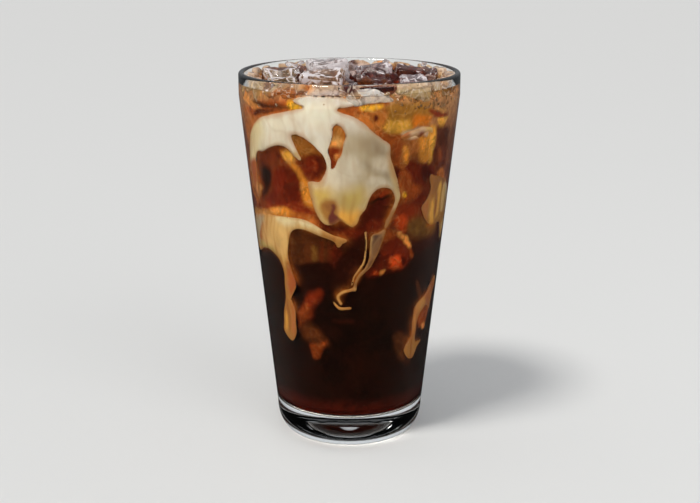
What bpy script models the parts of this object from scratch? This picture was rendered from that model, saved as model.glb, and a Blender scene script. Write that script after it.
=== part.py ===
"""Iced cold brew coffee with cream, in a straight-sided mixing glass.

The glass is turned, and stands on the XY plane with its axis on Z. The coffee fills it up to
the level shown, and is cut round the cream that hangs against the wall and the ice that floats.
Units are metres. Angles round the wall are in degrees from the front (-Y), positive towards +X.
"""

import math
import random

import bmesh
import bpy
from mathutils import Euler, Vector

MM = 0.001
GAP = 0.3 * MM

# Glass
GLASS_HEIGHT = 150 * MM
RIM_RADIUS = 44 * MM
FOOT_RADIUS = 29 * MM            # where the tapered side would meet the table
SHOULDER = 141 * MM              # above it the side is upright
HEEL_WIDTH = 7 * MM
HEEL_HEIGHT = 11.5 * MM
RIM_WALL = 2.3 * MM
FLOOR_WALL = 3.0 * MM
FLOOR_TOP = 13 * MM
FLOOR_FILLET = 4 * MM
GLASS_SIDES = 72

# Drink
LEVEL = 144.5 * MM
CREAM_DEPTH = 5 * MM
THREAD_DEPTH = 2 * MM
WRAP_RADIUS = 36 * MM            # the cream outlines are drawn on a flat strip of this radius
OUTLINE_STEPS = 1
CUT_ANGLE = 15                   # degrees between the upright lines that let a plate bend
CUT_HEIGHT = 24 * MM
CUTTER_REACH = 1 * MM
SNAP = 0.1 * MM                  # a cut line passes through a point that is this near

# Ice
ICE_BEVEL = 1.6 * MM
ICE_UNEVEN = 0.12                # share of its size by which a corner of the ice is off
ICE_SEED = 11

# Cream outlines: degrees round the wall, millimetres above the table. The veil comes down from
# the surface at the front, with a left limb, two fingers, a round lobe and a right limb.
VEIL = [
    (-28, 150), (-29, 143), (-24, 141), (-33, 139.3), (-47, 137.2), (-57, 134), (-66, 129),
    (-72, 121), (-74, 111), (-69, 103), (-65.5, 107), (-64, 117), (-58, 121.3), (-47, 124.5),
    (-37, 125.4), (-31, 121.8), (-27, 121), (-30, 126), (-31, 130.3), (-22, 128.4), (-14, 123.4),
    (-12.3, 118.5), (-15, 114), (-19, 112.4), (-23.4, 112), (-22, 106), (-19, 99.6), (-14, 96),
    (-8, 96.2), (-4, 97.5), (1.8, 95.4), (6, 99), (9, 102.2), (13, 107.8), (18, 110.2),
    (24, 109.2), (27, 105.4), (24.5, 100.6), (22.4, 94.6), (28, 101.5), (30.2, 107), (26, 116),
    (22.6, 124), (17, 129.8), (10, 133.8), (3, 138), (-5.5, 141), (8, 142.8), (20, 143.6),
    (21, 150),
]
VEIL_HOLE = [
    (-5.5, 133.4), (-2.4, 130.5), (-4, 124), (-8, 118.6), (-10.8, 123.6), (-11.4, 127), (-8.6, 131),
]
LEFT_PLUME = [
    (-84, 88), (-79, 94), (-66, 95.3), (-50, 96.8), (-34, 97.4), (-24, 96.4), (-15, 93.6),
    (-6, 91.2), (-1.6, 89.4), (-6.8, 87.2), (-13, 90), (-24, 92.4), (-33, 92.9), (-38.4, 90),
    (-41.6, 83), (-40.6, 76.6), (-37.6, 70), (-41.6, 63.4), (-40.2, 56), (-41, 48), (-45.5, 45.2),
    (-52.5, 47.4), (-52, 54), (-49, 62), (-47, 72), (-50.6, 78.6), (-58, 81.4), (-70, 80.6),
    (-80, 79),
]
CENTRE_THREAD = [
    (9.2, 92.4), (13, 91.8), (21.4, 93), (19, 86.6), (14.6, 80.6), (8, 76.6), (5.2, 73), (5, 69.4),
    (2.6, 68.2), (-4.8, 67.2), (-6.4, 65.8), (-4.4, 63.4), (-6.4, 62.4), (-9, 65.6), (-7.6, 68.4),
    (-1, 69.8), (2, 71.4), (3.4, 75), (8.8, 82),
]
RIGHT_STREAK = [
    (51, 115), (58, 113.4), (69, 111), (78, 104), (76, 96), (68, 92.4), (57, 92.2), (52.4, 96),
    (48.7, 100.4), (53, 105.6),
]
RIGHT_WISP = [
    (30, 130), (36, 132), (45, 132.8), (51.4, 130), (51.6, 126), (45, 128.8), (36, 129),
]
RIGHT_STREAM = [
    (74, 68), (70, 61.4), (58, 57), (54.6, 51), (54, 44.6), (51.4, 38.4), (54, 35.4), (58, 41),
    (65, 48), (76, 55), (84, 62), (80, 69),
]
# The side that the photograph doesn't show, in the same manner.
BACK_VEIL = [
    (104, 137), (101, 128), (112, 121), (116, 111), (122, 102), (128, 102), (133, 113), (140, 120),
    (147, 118), (151, 106), (156, 90), (163, 81), (168, 88), (169, 101), (175, 114), (186, 116),
    (195, 107), (201, 111), (205, 125), (213, 133), (205, 138), (180, 136), (150, 139), (124, 138),
]
BACK_PLUME_LEFT = [
    (230, 100), (242, 105), (258, 103), (268, 95), (262, 88), (253, 80), (248, 64), (242, 54),
    (236, 60), (238, 76), (234, 90),
]
BACK_PLUME_RIGHT = [
    (98, 89), (110, 91), (119, 86), (123, 72), (129, 56), (125, 46), (118, 54), (111, 68), (99, 77),
]
BACK_THREAD = [
    (189, 92), (195, 88), (193, 78), (198, 68), (194, 60), (190, 68), (188, 78), (185, 86),
]
CREAM = {
    "cream_veil": (VEIL, [VEIL_HOLE], CREAM_DEPTH),
    "cream_left_plume": (LEFT_PLUME, [], CREAM_DEPTH),
    "cream_centre_thread": (CENTRE_THREAD, [], THREAD_DEPTH),
    "cream_right_streak": (RIGHT_STREAK, [], CREAM_DEPTH),
    "cream_right_wisp": (RIGHT_WISP, [], THREAD_DEPTH),
    "cream_right_stream": (RIGHT_STREAM, [], CREAM_DEPTH),
    "cream_back_veil": (BACK_VEIL, [], CREAM_DEPTH),
    "cream_back_plume_left": (BACK_PLUME_LEFT, [], CREAM_DEPTH),
    "cream_back_plume_right": (BACK_PLUME_RIGHT, [], CREAM_DEPTH),
    "cream_back_thread": (BACK_THREAD, [], THREAD_DEPTH),
}

# Ice: centre x and y, width, depth and height, top above the table (mm), turn and tilt (degrees).
ICE = [
    (-11, -21, 17, 14, 18, 153.4, -4, 5),
    (-8, -3.6, 18, 16, 18, 155.8, 10, -6),
    (-27.4, -8, 14, 17, 13, 150.8, 14, 9),
    (-26, 10.6, 17, 15, 13, 150.4, -18, -6),
    (10, -22.2, 14, 12, 14, 151.8, 26, 10),
    (24, -16.4, 12, 12, 13, 150.6, 14, 7),
    (26.4, 1, 19, 17, 15, 152.4, -8, 5),
    (9, 11, 17, 12, 15, 152, 12, -5),
    (24, 19.4, 12, 11, 12, 149.8, 24, 6),
    (-18, 26, 10, 9, 9, 149.6, 15, 8),
    (-8, 12.4, 10, 9, 11, 151.2, 38, 4),
    (-23, -23, 8, 8, 8, 149.2, -30, 9),
    (6, -11.4, 7, 6, 11, 150.8, 12, -5),
    (9.6, -2.6, 8, 7, 12, 151.4, -16, 5),
]


def slanted(start, end, share):
    return start + (end - start) * share


def outer_radius(height):
    """Radius of the glass's outer side above the heel."""
    return slanted(FOOT_RADIUS, RIM_RADIUS, min(height, SHOULDER) / SHOULDER)


def inner_radius(height):
    """Radius of the glass's inner side above the fillet."""
    low = FLOOR_TOP + FLOOR_FILLET
    share = (min(height, SHOULDER) - low) / (SHOULDER - low)
    return slanted(outer_radius(low) - FLOOR_WALL, RIM_RADIUS - RIM_WALL, share)


def arc(centre, radii, start, end, steps):
    """Points (r, z) of an elliptical arc between two angles in degrees."""
    angles = [math.radians(slanted(start, end, step / steps)) for step in range(steps + 1)]
    return [(centre[0] + radii[0] * math.cos(a), centre[1] + radii[1] * math.sin(a)) for a in angles]


def floor_fillet(inset):
    """The round between wall and floor, moved in by inset, from the wall down to the floor."""
    radius = inner_radius(FLOOR_TOP + FLOOR_FILLET)
    centre = (radius - FLOOR_FILLET, FLOOR_TOP + FLOOR_FILLET)
    reach = FLOOR_FILLET - inset
    return arc(centre, (reach, reach), 0, -90, 3)


def glass_profile():
    lip = RIM_WALL / 2
    inside = [(0, FLOOR_TOP)] + floor_fillet(0)[::-1] + [(inner_radius(SHOULDER), SHOULDER)]
    rim = arc((RIM_RADIUS - lip, GLASS_HEIGHT - lip), (lip, lip), 180, 0, 5)
    heel_radius = outer_radius(HEEL_HEIGHT)
    heel = arc((heel_radius - HEEL_WIDTH, HEEL_HEIGHT), (HEEL_WIDTH, HEEL_HEIGHT), 0, -90, 5)
    return inside + rim + [(RIM_RADIUS, SHOULDER)] + heel + [(0, 0)]


def coffee_profile():
    wall = [(inner_radius(height) - GAP, height) for height in (LEVEL, SHOULDER)]
    return [(0, LEVEL)] + wall + floor_fillet(GAP) + [(0, FLOOR_TOP + GAP)]


def material(name, color, roughness, transmission=0.0):
    finish = bpy.data.materials.new(name)
    finish.use_nodes = True
    shader = finish.node_tree.nodes["Principled BSDF"]
    shader.inputs["Base Color"].default_value = (*color, 1)
    shader.inputs["Roughness"].default_value = roughness
    shader.inputs["Metallic"].default_value = 0
    shader.inputs["Transmission Weight"].default_value = transmission
    return finish


def add_object(name, mesh, collection, finish=None):
    new = bpy.data.objects.new(name, mesh)
    collection.objects.link(new)
    if finish:
        mesh.materials.append(finish)
    return new


def turned(name, profile, collection, finish):
    """A profile of (r, z) points turned round the Z axis."""
    mesh = bpy.data.meshes.new(name)
    edges = [(i, i + 1) for i in range(len(profile) - 1)]
    mesh.from_pydata([(r, 0, z) for r, z in profile], edges, [])
    body = add_object(name, mesh, collection, finish)
    screw = body.modifiers.new("turn", "SCREW")
    screw.steps = GLASS_SIDES
    screw.render_steps = GLASS_SIDES
    screw.use_merge_vertices = True
    screw.merge_threshold = 0.01 * MM
    screw.use_smooth_shade = True
    return body


def evaluated_mesh(source):
    bpy.context.view_layer.update()
    return bpy.data.meshes.new_from_object(source.evaluated_get(bpy.context.evaluated_depsgraph_get()))


def flat_plate(outline, holes):
    """A closed plate, one unit of WRAP_RADIUS strip wide, filled inside a smooth outline."""
    curve = bpy.data.curves.new("outline", "CURVE")
    curve.dimensions = "2D"
    curve.fill_mode = "BOTH"
    curve.extrude = MM
    curve.resolution_u = OUTLINE_STEPS
    for loop in [outline, *holes]:
        spline = curve.splines.new("BEZIER")
        spline.bezier_points.add(len(loop) - 1)
        for point, (angle, height) in zip(spline.bezier_points, loop):
            point.co = (math.radians(angle) * WRAP_RADIUS, height * MM, 0)
            point.handle_left_type = "AUTO"
            point.handle_right_type = "AUTO"
        spline.use_cyclic_u = True
    source = bpy.data.objects.new("outline", curve)
    bpy.context.scene.collection.objects.link(source)
    mesh = evaluated_mesh(source)
    bpy.data.objects.remove(source)
    return mesh


def cut_lines(plate, along, spacing):
    """Cuts a plate's faces at even spacing along an axis, so that it can bend there."""
    places = [vert.co[along] for vert in plate.verts]
    normal = Vector([1.0 if axis == along else 0.0 for axis in range(3)])
    for step in range(math.ceil(min(places) / spacing), math.floor(max(places) / spacing) + 1):
        everything = plate.verts[:] + plate.edges[:] + plate.faces[:]
        bmesh.ops.bisect_plane(
            plate, geom=everything, dist=SNAP, plane_co=normal * step * spacing, plane_no=normal)


def wall_mesh(name, outline, holes, depth, reach):
    """The outline's plate bent on the inner wall: from depth inside it, out to reach beyond GAP."""
    plate = bmesh.new()
    plate.from_mesh(flat_plate(outline, holes))
    bmesh.ops.remove_doubles(plate, verts=plate.verts, dist=0.01 * MM)
    cut_lines(plate, 0, math.radians(CUT_ANGLE) * WRAP_RADIUS)
    cut_lines(plate, 1, CUT_HEIGHT)
    bmesh.ops.triangulate(plate, faces=plate.faces)
    for vert in plate.verts:
        angle = vert.co.x / WRAP_RADIUS
        height = vert.co.y
        inset = GAP - reach if vert.co.z > 0 else GAP + depth
        radius = inner_radius(height) - inset
        vert.co = (radius * math.sin(angle), -radius * math.cos(angle), height)
    mesh = bpy.data.meshes.new(name)
    plate.to_mesh(mesh)
    plate.free()
    return mesh


def trim_at_level(mesh):
    """Cuts a cream piece off at the drink's surface and closes it there."""
    piece = bmesh.new()
    piece.from_mesh(mesh)
    everything = piece.verts[:] + piece.edges[:] + piece.faces[:]
    bmesh.ops.bisect_plane(
        piece, geom=everything, dist=0.01 * MM, plane_co=(0, 0, LEVEL), plane_no=(0, 0, 1),
        clear_outer=True)
    bmesh.ops.holes_fill(piece, edges=[edge for edge in piece.edges if edge.is_boundary], sides=0)
    bmesh.ops.triangulate(piece, faces=piece.faces)
    piece.to_mesh(mesh)
    piece.free()


def grown(cutter):
    """Moves a cutter's faces out by about the gap that touching pieces keep."""
    swell = cutter.modifiers.new("gap", "DISPLACE")
    swell.strength = 1.5 * GAP
    swell.mid_level = 0
    cutter.hide_render = True
    cutter.display_type = "WIRE"
    return cutter


def add_cream(collection, cutters, finish):
    """Adds each cream piece, and returns the cutters that make room for it in the coffee."""
    tools = []
    for name, (outline, holes, depth) in CREAM.items():
        mesh = wall_mesh(name, outline, holes, depth, 0)
        trim_at_level(mesh)
        mesh.shade_smooth()
        mesh.set_sharp_from_angle(angle=math.radians(40))
        add_object(name, mesh, collection, finish)
        cutter_mesh = wall_mesh(name + "_room", outline, holes, depth, CUTTER_REACH)
        tools.append(grown(add_object(name + "_room", cutter_mesh, cutters)))
    return tools


def ice_mesh(name, width, depth, height, chance):
    """A block of ice with uneven corners."""
    block = bmesh.new()
    bmesh.ops.create_cube(block, size=1)
    for vert in block.verts:
        for axis, size in enumerate((width, depth, height)):
            vert.co[axis] *= size * MM * (1 - ICE_UNEVEN * chance.uniform(0, 2))
    mesh = bpy.data.meshes.new(name)
    block.to_mesh(mesh)
    block.free()
    return mesh


def place_ice(name, mesh, collection, row):
    """Places a block so that its middle is the stated depth under its top."""
    x, y, _, _, height, top, turn, tilt = row
    block = add_object(name, mesh, collection)
    block.location = (x * MM, y * MM, (top - height / 2) * MM)
    block.rotation_euler = Euler((math.radians(tilt), math.radians(tilt) / 2, math.radians(turn)))
    rounding = block.modifiers.new("rounding", "BEVEL")
    rounding.width = ICE_BEVEL
    rounding.segments = 2
    rounding.limit_method = "NONE"
    facets = block.modifiers.new("facets", "TRIANGULATE")
    facets.quad_method = "FIXED"
    return block


def add_ice(collection, cutters, finish):
    """Adds the floating ice, and returns the cutters that make room for it in the coffee."""
    chance = random.Random(ICE_SEED)
    tools = []
    for number, row in enumerate(ICE, start=1):
        name = f"ice_{number:02d}"
        mesh = ice_mesh(name, *row[2:5], chance)
        mesh.shade_smooth()
        tools.append(grown(place_ice(name + "_room", mesh.copy(), cutters, row)))
        block = place_ice(name, mesh, collection, row)
        mesh.materials.append(finish)
        block.modifiers["rounding"].harden_normals = False
    return tools


def cut(body, tools):
    for tool in tools:
        boolean = body.modifiers.new(tool.name, "BOOLEAN")
        boolean.operation = "DIFFERENCE"
        boolean.solver = "EXACT"
        boolean.object = tool


def new_collection(name):
    collection = bpy.data.collections.new(name)
    bpy.context.scene.collection.children.link(collection)
    return collection


def main():
    for old in list(bpy.data.objects):
        bpy.data.objects.remove(old)
    drink = new_collection("cold_brew_coffee")
    cutters = new_collection("cutters")
    clear_glass = material("clear_glass", (0.95, 0.97, 0.96), 0.02, 1)
    coffee_finish = material("coffee", (0.055, 0.018, 0.008), 0.05)
    cream_finish = material("cream", (0.78, 0.70, 0.56), 0.4)
    ice_finish = material("ice", (0.72, 0.66, 0.62), 0.1, 0.8)
    turned("glass", glass_profile(), drink, clear_glass)
    coffee = turned("coffee", coffee_profile(), drink, coffee_finish)
    cut(coffee, add_cream(drink, cutters, cream_finish))
    cut(coffee, add_ice(drink, cutters, ice_finish))


main()
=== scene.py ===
import math
import random

import bmesh
import bpy
import numpy as np
from mathutils import Euler, Matrix, Vector, noise


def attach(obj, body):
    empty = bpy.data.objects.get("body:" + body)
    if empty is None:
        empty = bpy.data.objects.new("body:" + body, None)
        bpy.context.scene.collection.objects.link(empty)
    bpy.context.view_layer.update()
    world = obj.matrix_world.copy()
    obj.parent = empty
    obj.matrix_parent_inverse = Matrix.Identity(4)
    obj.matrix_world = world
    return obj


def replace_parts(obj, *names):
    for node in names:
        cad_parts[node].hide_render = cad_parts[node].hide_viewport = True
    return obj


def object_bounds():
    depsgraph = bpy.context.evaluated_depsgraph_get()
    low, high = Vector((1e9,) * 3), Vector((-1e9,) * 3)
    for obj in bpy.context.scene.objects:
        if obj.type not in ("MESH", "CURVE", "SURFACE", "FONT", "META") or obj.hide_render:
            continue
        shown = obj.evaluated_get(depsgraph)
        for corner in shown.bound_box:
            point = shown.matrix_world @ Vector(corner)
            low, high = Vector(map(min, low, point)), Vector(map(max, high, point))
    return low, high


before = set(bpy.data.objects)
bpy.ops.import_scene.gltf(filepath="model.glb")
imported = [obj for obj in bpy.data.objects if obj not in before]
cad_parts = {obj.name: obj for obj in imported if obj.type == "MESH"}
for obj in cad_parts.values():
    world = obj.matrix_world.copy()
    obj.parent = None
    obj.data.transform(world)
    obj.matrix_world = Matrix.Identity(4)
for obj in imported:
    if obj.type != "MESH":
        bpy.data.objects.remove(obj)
cad_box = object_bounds()

# Sizes in metres, as in the part's source
MM = 0.001
GLASS_HEIGHT = 150 * MM
RIM_RADIUS = 44 * MM
FOOT_RADIUS = 29 * MM
SHOULDER = 141 * MM
HEEL_WIDTH = 7 * MM
HEEL_HEIGHT = 11.5 * MM
RIM_WALL = 2.3 * MM
FLOOR_WALL = 3.0 * MM
FLOOR_TOP = 13 * MM
FLOOR_FILLET = 4 * MM
LEVEL = 144.5 * MM
WRAP_RADIUS = 36.0               # mm: outlines lie on a flat strip of this radius
TURN_STEPS = 192
WALL_STEPS = 12

# The view of the photo
LENS = 66.15
CAMERA_PLACE = (0.24 * MM, -511.2 * MM, 215 * MM)
CAMERA_DIP = 15.274              # degrees below level

# Depths behind the inner wall, mm
INTO_GLASS = 0.12                # the coffee reaches this far into the wall, so no air shows
CREAM_FILM = 0.10                # coffee between the wall and the cream
CORE_NEAR = 0.7                  # the brightest places of the core
CORE_FAR = 3.6                   # its darkest

# The core's grid, from the floor up to its top in mm
CORE_COLUMNS = 400
CORE_ROWS = 236
CORE_TOP = 143.9

# Finish of the drink
WET_GLEAM = 0.0                  # glass and coffee hardly mirror where they touch
COFFEE_LEFT = (0.88, 0.55, 0.0, 1)
COFFEE_DENSITY = 190
HALO_WIDTH = 0.9                 # mm over which cream stains the coffee beside it
CREAM_SPACING = 0.42             # mm between the points of the cream's meshes
STRAND = (0.72, 0.48, 0.26)      # red, green and blue left in the darkest strands of cream
RAGGED = 0.15                    # mm: how wavy the edges of the cream are
RAGGED_BACK = 1.2                # the same at the back
SOFTNESS = 1.7                   # how far patch edges run, times their own softness

# Broken ice and froth
RIM_PIECES = 40
BARE = (1, 21)                   # degrees of the wall that the smooth dome of ice fills alone
CREAM_TOPS = [(0, 32), (150, 50), (205, 12)]    # middle and half width in degrees of cream at the surface
RIM_ICE_TOP = 149.3 * MM
TOP_PIECES = 64
CHIPS = 90
SMALL_CHIPS = (150, 215)         # degrees between which the chips are half as large
BUBBLES = 260
WHITE_CHIPS = [                  # x, y, z and size in mm of small white pieces on top
    (-24, 4.5, 152, 1.9), (-21.4, 2.2, 151.6, 1.5), (-19.2, 4.6, 152.2, 1.7), (-20.4, -9.6, 150.8, 1.5),
    (14.6, 10.8, 152, 1.6), (12, -20, 151.6, 1.7), (30, 8, 151.4, 1.6),
]
# Tones of the small broken ice; the pale ones are partly painted light: reflections of the lamps and light
# from the cream below
TOP_TONES = ("maroon", "chestnut", "russet", "fawn", "apricot", "blush", "lilac", "frost", "tan")
BROWN_AND_SHADE_FADE = 3.4                  # mm above the drink over which ice loses its brown: the coffee's, and a painted shade
EDGE_FROST_AND_HIGHLIGHT = 0.6                 # how much whiter ice is on its edges: frost, and a painted highlight

# Cream outlines: degrees round the wall from the front, millimetres above the table
VEIL = [
    (-28, 144.2), (-30, 143.2), (-27, 142.2), (-24, 141.2), (-28, 140.2), (-36, 138.8), (-47, 136.8),
    (-55, 134.8), (-62.5, 131.2), (-68, 127), (-72, 121), (-74, 114), (-72, 107), (-68, 102.8),
    (-65.6, 106), (-64.4, 113), (-63.6, 118.4), (-60.6, 121.3), (-55, 122), (-49, 124), (-42, 125.5),
    (-37.4, 125.4), (-34, 124.2), (-31, 121.9), (-27, 120.9), (-28.6, 123.8), (-30.6, 126.8),
    (-31.8, 130.2), (-27, 130.2), (-22, 128.4), (-17.8, 125.8), (-14.2, 123.2), (-12.6, 120.4),
    (-12.4, 118.2), (-14, 115.4), (-17, 112.9), (-21, 112.9), (-23.8, 112.2), (-22.8, 108),
    (-21, 102.6), (-18.6, 99), (-16, 96.8), (-13, 95.8), (-8.4, 96.2), (-5.4, 97.6), (-1.8, 96.5),
    (1.8, 95.2), (4.4, 96.6), (6.4, 99.8), (9, 102), (10.6, 105), (12.4, 107.6), (15, 109.6),
    (18.6, 110.5), (22.6, 110.1), (25.6, 108.2), (27, 105.4), (26, 102.6), (23.6, 99.3), (21.4, 96.6),
    (22, 94), (24.8, 97.4), (27.6, 101), (29.6, 104.4), (30.2, 107), (28.2, 111.8), (25.5, 117),
    (22.6, 122.4), (22, 127), (17.6, 129.4), (12, 132.6), (7, 136), (2, 138.2), (-3, 139.5),
    (-6.2, 140.9), (-1.6, 141.6), (5.4, 142.6), (13.6, 143), (20, 143.6), (17, 144.3), (-1, 144.5),
    (-4, 145.2), (-12, 145.4), (-20, 145.2), (-25, 144.8),
]
VEIL_HOLE = [
    (-8, 134.5), (-6, 135), (-4, 134), (-2.5, 132.5), (-2, 130.5), (-3, 128.5), (-3.5, 126),
    (-4.5, 123.5), (-6, 122), (-7.5, 119.5), (-9.5, 118), (-10, 119.5), (-10, 121.5), (-11, 124),
    (-11, 126), (-10, 128), (-9, 130), (-8.5, 133),
]
LEFT_PLUME = [
    (-84, 88), (-79, 93), (-70, 95), (-60, 96.2), (-50, 96.8), (-42, 97.2), (-34, 97.4), (-28, 97.2),
    (-22, 95.9), (-15.4, 93.6), (-9.6, 91.9), (-4.4, 90.8), (-1.4, 89.8), (-4.2, 88.4), (-6.9, 86.9),
    (-9, 88.8), (-12, 90), (-16, 90.8), (-21.6, 91.9), (-26.5, 92.9), (-31, 93.2), (-35, 92.6),
    (-38, 90.8), (-40, 88), (-41.4, 84), (-41.9, 80.8), (-41, 77.4), (-39.4, 73.8), (-37.6, 71),
    (-37.4, 68.8), (-39.8, 66), (-42.6, 63), (-40.4, 59), (-40.4, 54), (-40.6, 50.6), (-41.4, 47.6),
    (-45, 44.9), (-49.6, 45.6), (-53.6, 48.6), (-52.4, 52.4), (-51, 57.4), (-48, 62.6), (-47.4, 68.8),
    (-46.8, 72.8), (-48, 76.2), (-50.8, 78.8), (-55, 80.6), (-60.5, 81.6), (-68, 81.2), (-80, 79),
]
CENTRE_RIBBON = [
    (22, 93.4), (17, 92.4), (13, 91.4), (12.4, 86), (12, 81.6), (9.8, 78.6), (6.6, 76.4), (4, 73.6),
    (2.4, 70.6), (0, 69.8), (-4.6, 68.9), (-8, 67.4), (-8.3, 65.2), (-6, 63), (-4.6, 63.6),
    (-6.6, 65.6), (-6.2, 66.8), (-3, 68), (1, 68.7), (4.4, 69), (4.8, 72), (6.8, 74.6), (10, 76.6),
    (13.4, 78.6), (16, 81.8), (18.2, 84.4), (19.6, 87.4),
]
CENTRE_THREAD = [
    (9, 93), (10.2, 93.2), (10.7, 88), (10.4, 84), (9.6, 80.4), (6.6, 77.2), (3.6, 74.6), (1.8, 71),
    (1, 71.2), (2.8, 75.2), (5.8, 78.2), (8.4, 81), (9.4, 85), (9.5, 89),
]
CENTRE_HOOK = [
    (-10.8, 64.6), (-9.4, 62.3), (-6.8, 61), (-3, 61), (1.4, 61.8), (-3, 62.1), (-6.4, 62.2),
    (-8.8, 63.4),
]
RIGHT_STREAK = [
    (53.5, 113), (58, 112), (64, 111), (74, 108.4), (81, 104), (84, 98), (83.4, 92), (81, 86),
    (78, 83.6), (75.6, 87), (71, 91.4), (61, 91.5), (54.5, 93.5), (50, 97), (48, 100),
    (50.5, 102.4), (53.5, 104.4), (55, 107.5), (53, 110.5),
]
RIGHT_WISP = [
    (28, 129.5), (29, 130.5), (31.5, 131.5), (34, 132), (36.5, 132), (39, 132.5), (42.5, 133),
    (46.5, 132.5), (49.5, 132), (50.5, 130.5), (49.5, 129.5), (46, 130.5), (43, 129.5),
    (40.5, 128.5), (37.5, 129.5), (34, 129), (31, 128.5),
]
RIGHT_STREAM = [
    (77, 68), (69.5, 65.5), (65.5, 63), (60.5, 61.5), (54.5, 60), (51.5, 58), (51, 55), (50.5, 51.5),
    (51.5, 48), (51.5, 45.5), (48, 44), (45, 41.5), (45, 39.5), (47.5, 37.5), (51, 36), (55.5, 36),
    (58, 38), (60, 40), (64, 41.5), (64.5, 42.5), (60.5, 42.5), (57, 42.5), (55.5, 45), (56, 48),
    (56, 51), (57.5, 54), (61, 56), (67, 57), (73, 54.5), (74.5, 57.5), (77, 61.5), (80.5, 64.5),
]
BACK_VEIL = [
    (104, 137), (100, 133), (101, 128), (107, 124), (112, 121), (115, 116), (116, 111), (118.6, 105.4),
    (122, 102), (126, 101), (129.6, 104), (132.6, 112), (136, 117.4), (140, 120), (144, 120),
    (147, 118), (149.4, 112), (151, 106), (153, 97), (156, 90), (159, 84.4), (163, 81), (166.4, 83.4),
    (168, 88), (168.4, 95), (169.4, 102), (171.6, 109), (175, 114), (180.4, 116.4), (186, 116),
    (191, 111.4), (195, 107), (199, 107.4), (201.4, 111), (202.6, 118), (205, 125), (209.4, 130),
    (213, 133), (211.4, 136.8), (205, 138.2), (192, 137.4), (180, 136), (165, 137.8), (150, 139),
    (136, 138.6), (124, 138), (113, 138.4),
]
BACK_PLUME_LEFT = [
    (230, 100), (235, 103.6), (242, 105), (250, 104.4), (258, 103), (264, 99.8), (268, 95),
    (265.6, 90.8), (262, 88), (256.6, 84.6), (253, 80), (250.6, 72.6), (248, 64), (245.6, 57.4),
    (242, 54), (238.4, 55.6), (236, 60), (236.8, 67.6), (238, 76), (237, 84), (234, 90), (231, 95),
]
BACK_PLUME_RIGHT = [
    (98, 89), (103.6, 91.2), (110, 91), (115.6, 89.6), (119, 86), (121.4, 79.4), (123, 72),
    (126.4, 63.6), (129, 56), (128.4, 49.4), (125, 46), (120.6, 48.8), (118, 54), (114.8, 61.4),
    (111, 68), (105.4, 73.4), (99, 77), (96, 82.6),
]
BACK_THREAD = [
    (189, 92), (193, 91), (195, 88), (194.4, 83), (193, 78), (195.4, 72.6), (198, 68), (197, 63),
    (194, 60), (191.4, 63.4), (190, 68), (189.4, 73), (188, 78), (186, 82), (185, 86), (186, 90),
]
BACK_CURL = [
    (164, 84), (162, 78), (158, 72), (157, 66), (160, 61), (166, 58.4), (173, 59.6), (178, 62.4),
    (172, 61.2), (166, 60.8), (161.6, 63), (160, 66.6), (161, 71.4), (164.4, 77), (167, 83),
]

# Cream pieces: outline and holes, thickness (mm), how far the edge lies behind the wall (mm),
# width of the rounded edge (mm) and the CAD nodes that they stand for
CREAM = {
    "veil": ([VEIL, VEIL_HOLE], 4.6, 0.35, 1.2, ["cream_veil"]),
    "left_plume": ([LEFT_PLUME], 4.2, 0.4, 1.2, ["cream_left_plume"]),
    "ribbon": ([CENTRE_RIBBON], 1.6, 0.4, 0.9, ["cream_centre_thread"]),
    "thread": ([CENTRE_THREAD], 1.0, 0.4, 0.4, []),
    "hook": ([CENTRE_HOOK], 1.0, 0.4, 0.5, []),
    "right_streak": ([RIGHT_STREAK], 4.0, 1.0, 1.3, ["cream_right_streak"]),
    "right_wisp": ([RIGHT_WISP], 1.4, 0.8, 0.8, ["cream_right_wisp"]),
    "right_stream": ([RIGHT_STREAM], 4.0, 0.8, 1.2, ["cream_right_stream"]),
    "back_veil": ([BACK_VEIL], 4.6, 0.35, 1.2, ["cream_back_veil"]),
    "back_plume_left": ([BACK_PLUME_LEFT], 4.2, 0.4, 1.2, ["cream_back_plume_left"]),
    "back_plume_right": ([BACK_PLUME_RIGHT], 4.2, 0.4, 1.2, ["cream_back_plume_right"]),
    "back_curl": ([BACK_CURL], 1.0, 0.3, 0.6, []),
    "back_thread": ([BACK_THREAD], 1.6, 0.4, 0.9, ["cream_back_thread"]),
}

# Tones of coffee, lit ice and cream, as display colours
TONES = {
    "black": (28, 11, 6), "wine": (80, 21, 12), "maroon": (112, 36, 17), "chestnut": (118, 52, 27),
    "bark": (88, 48, 23), "brown": (98, 44, 22), "russet": (136, 50, 22), "rust": (150, 71, 30),
    "umber": (186, 108, 47), "ochre": (184, 127, 51), "amber": (226, 150, 58), "honey": (246, 184, 75),
    "yellow": (252, 192, 51), "orange": (224, 127, 36), "ember": (208, 77, 28), "peach": (248, 169, 90),
    "tan": (214, 159, 92), "olive": (116, 81, 37), "cream": (230, 212, 192),
    "parchment": (238, 222, 178), "silt": (192, 174, 144), "ash": (172, 154, 128), "ivory": (222, 210, 188),
    "lime": (200, 172, 96), "sand": (212, 182, 130), "apricot": (226, 190, 154), "blush": (230, 208, 198),
    "taupe": (134, 88, 48), "fawn": (164, 96, 47), "frost": (244, 238, 236),
    "bronze": (160, 102, 42), "copper": (182, 92, 36), "drab": (152, 108, 62),
    "pearl": (255, 250, 234), "hazel": (90, 52, 26), "wheat": (240, 198, 126), "ink": (50, 17, 11),
    "lilac": (226, 212, 216), "cocoa": (66, 30, 20), "straw": (234, 204, 112),
}

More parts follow.
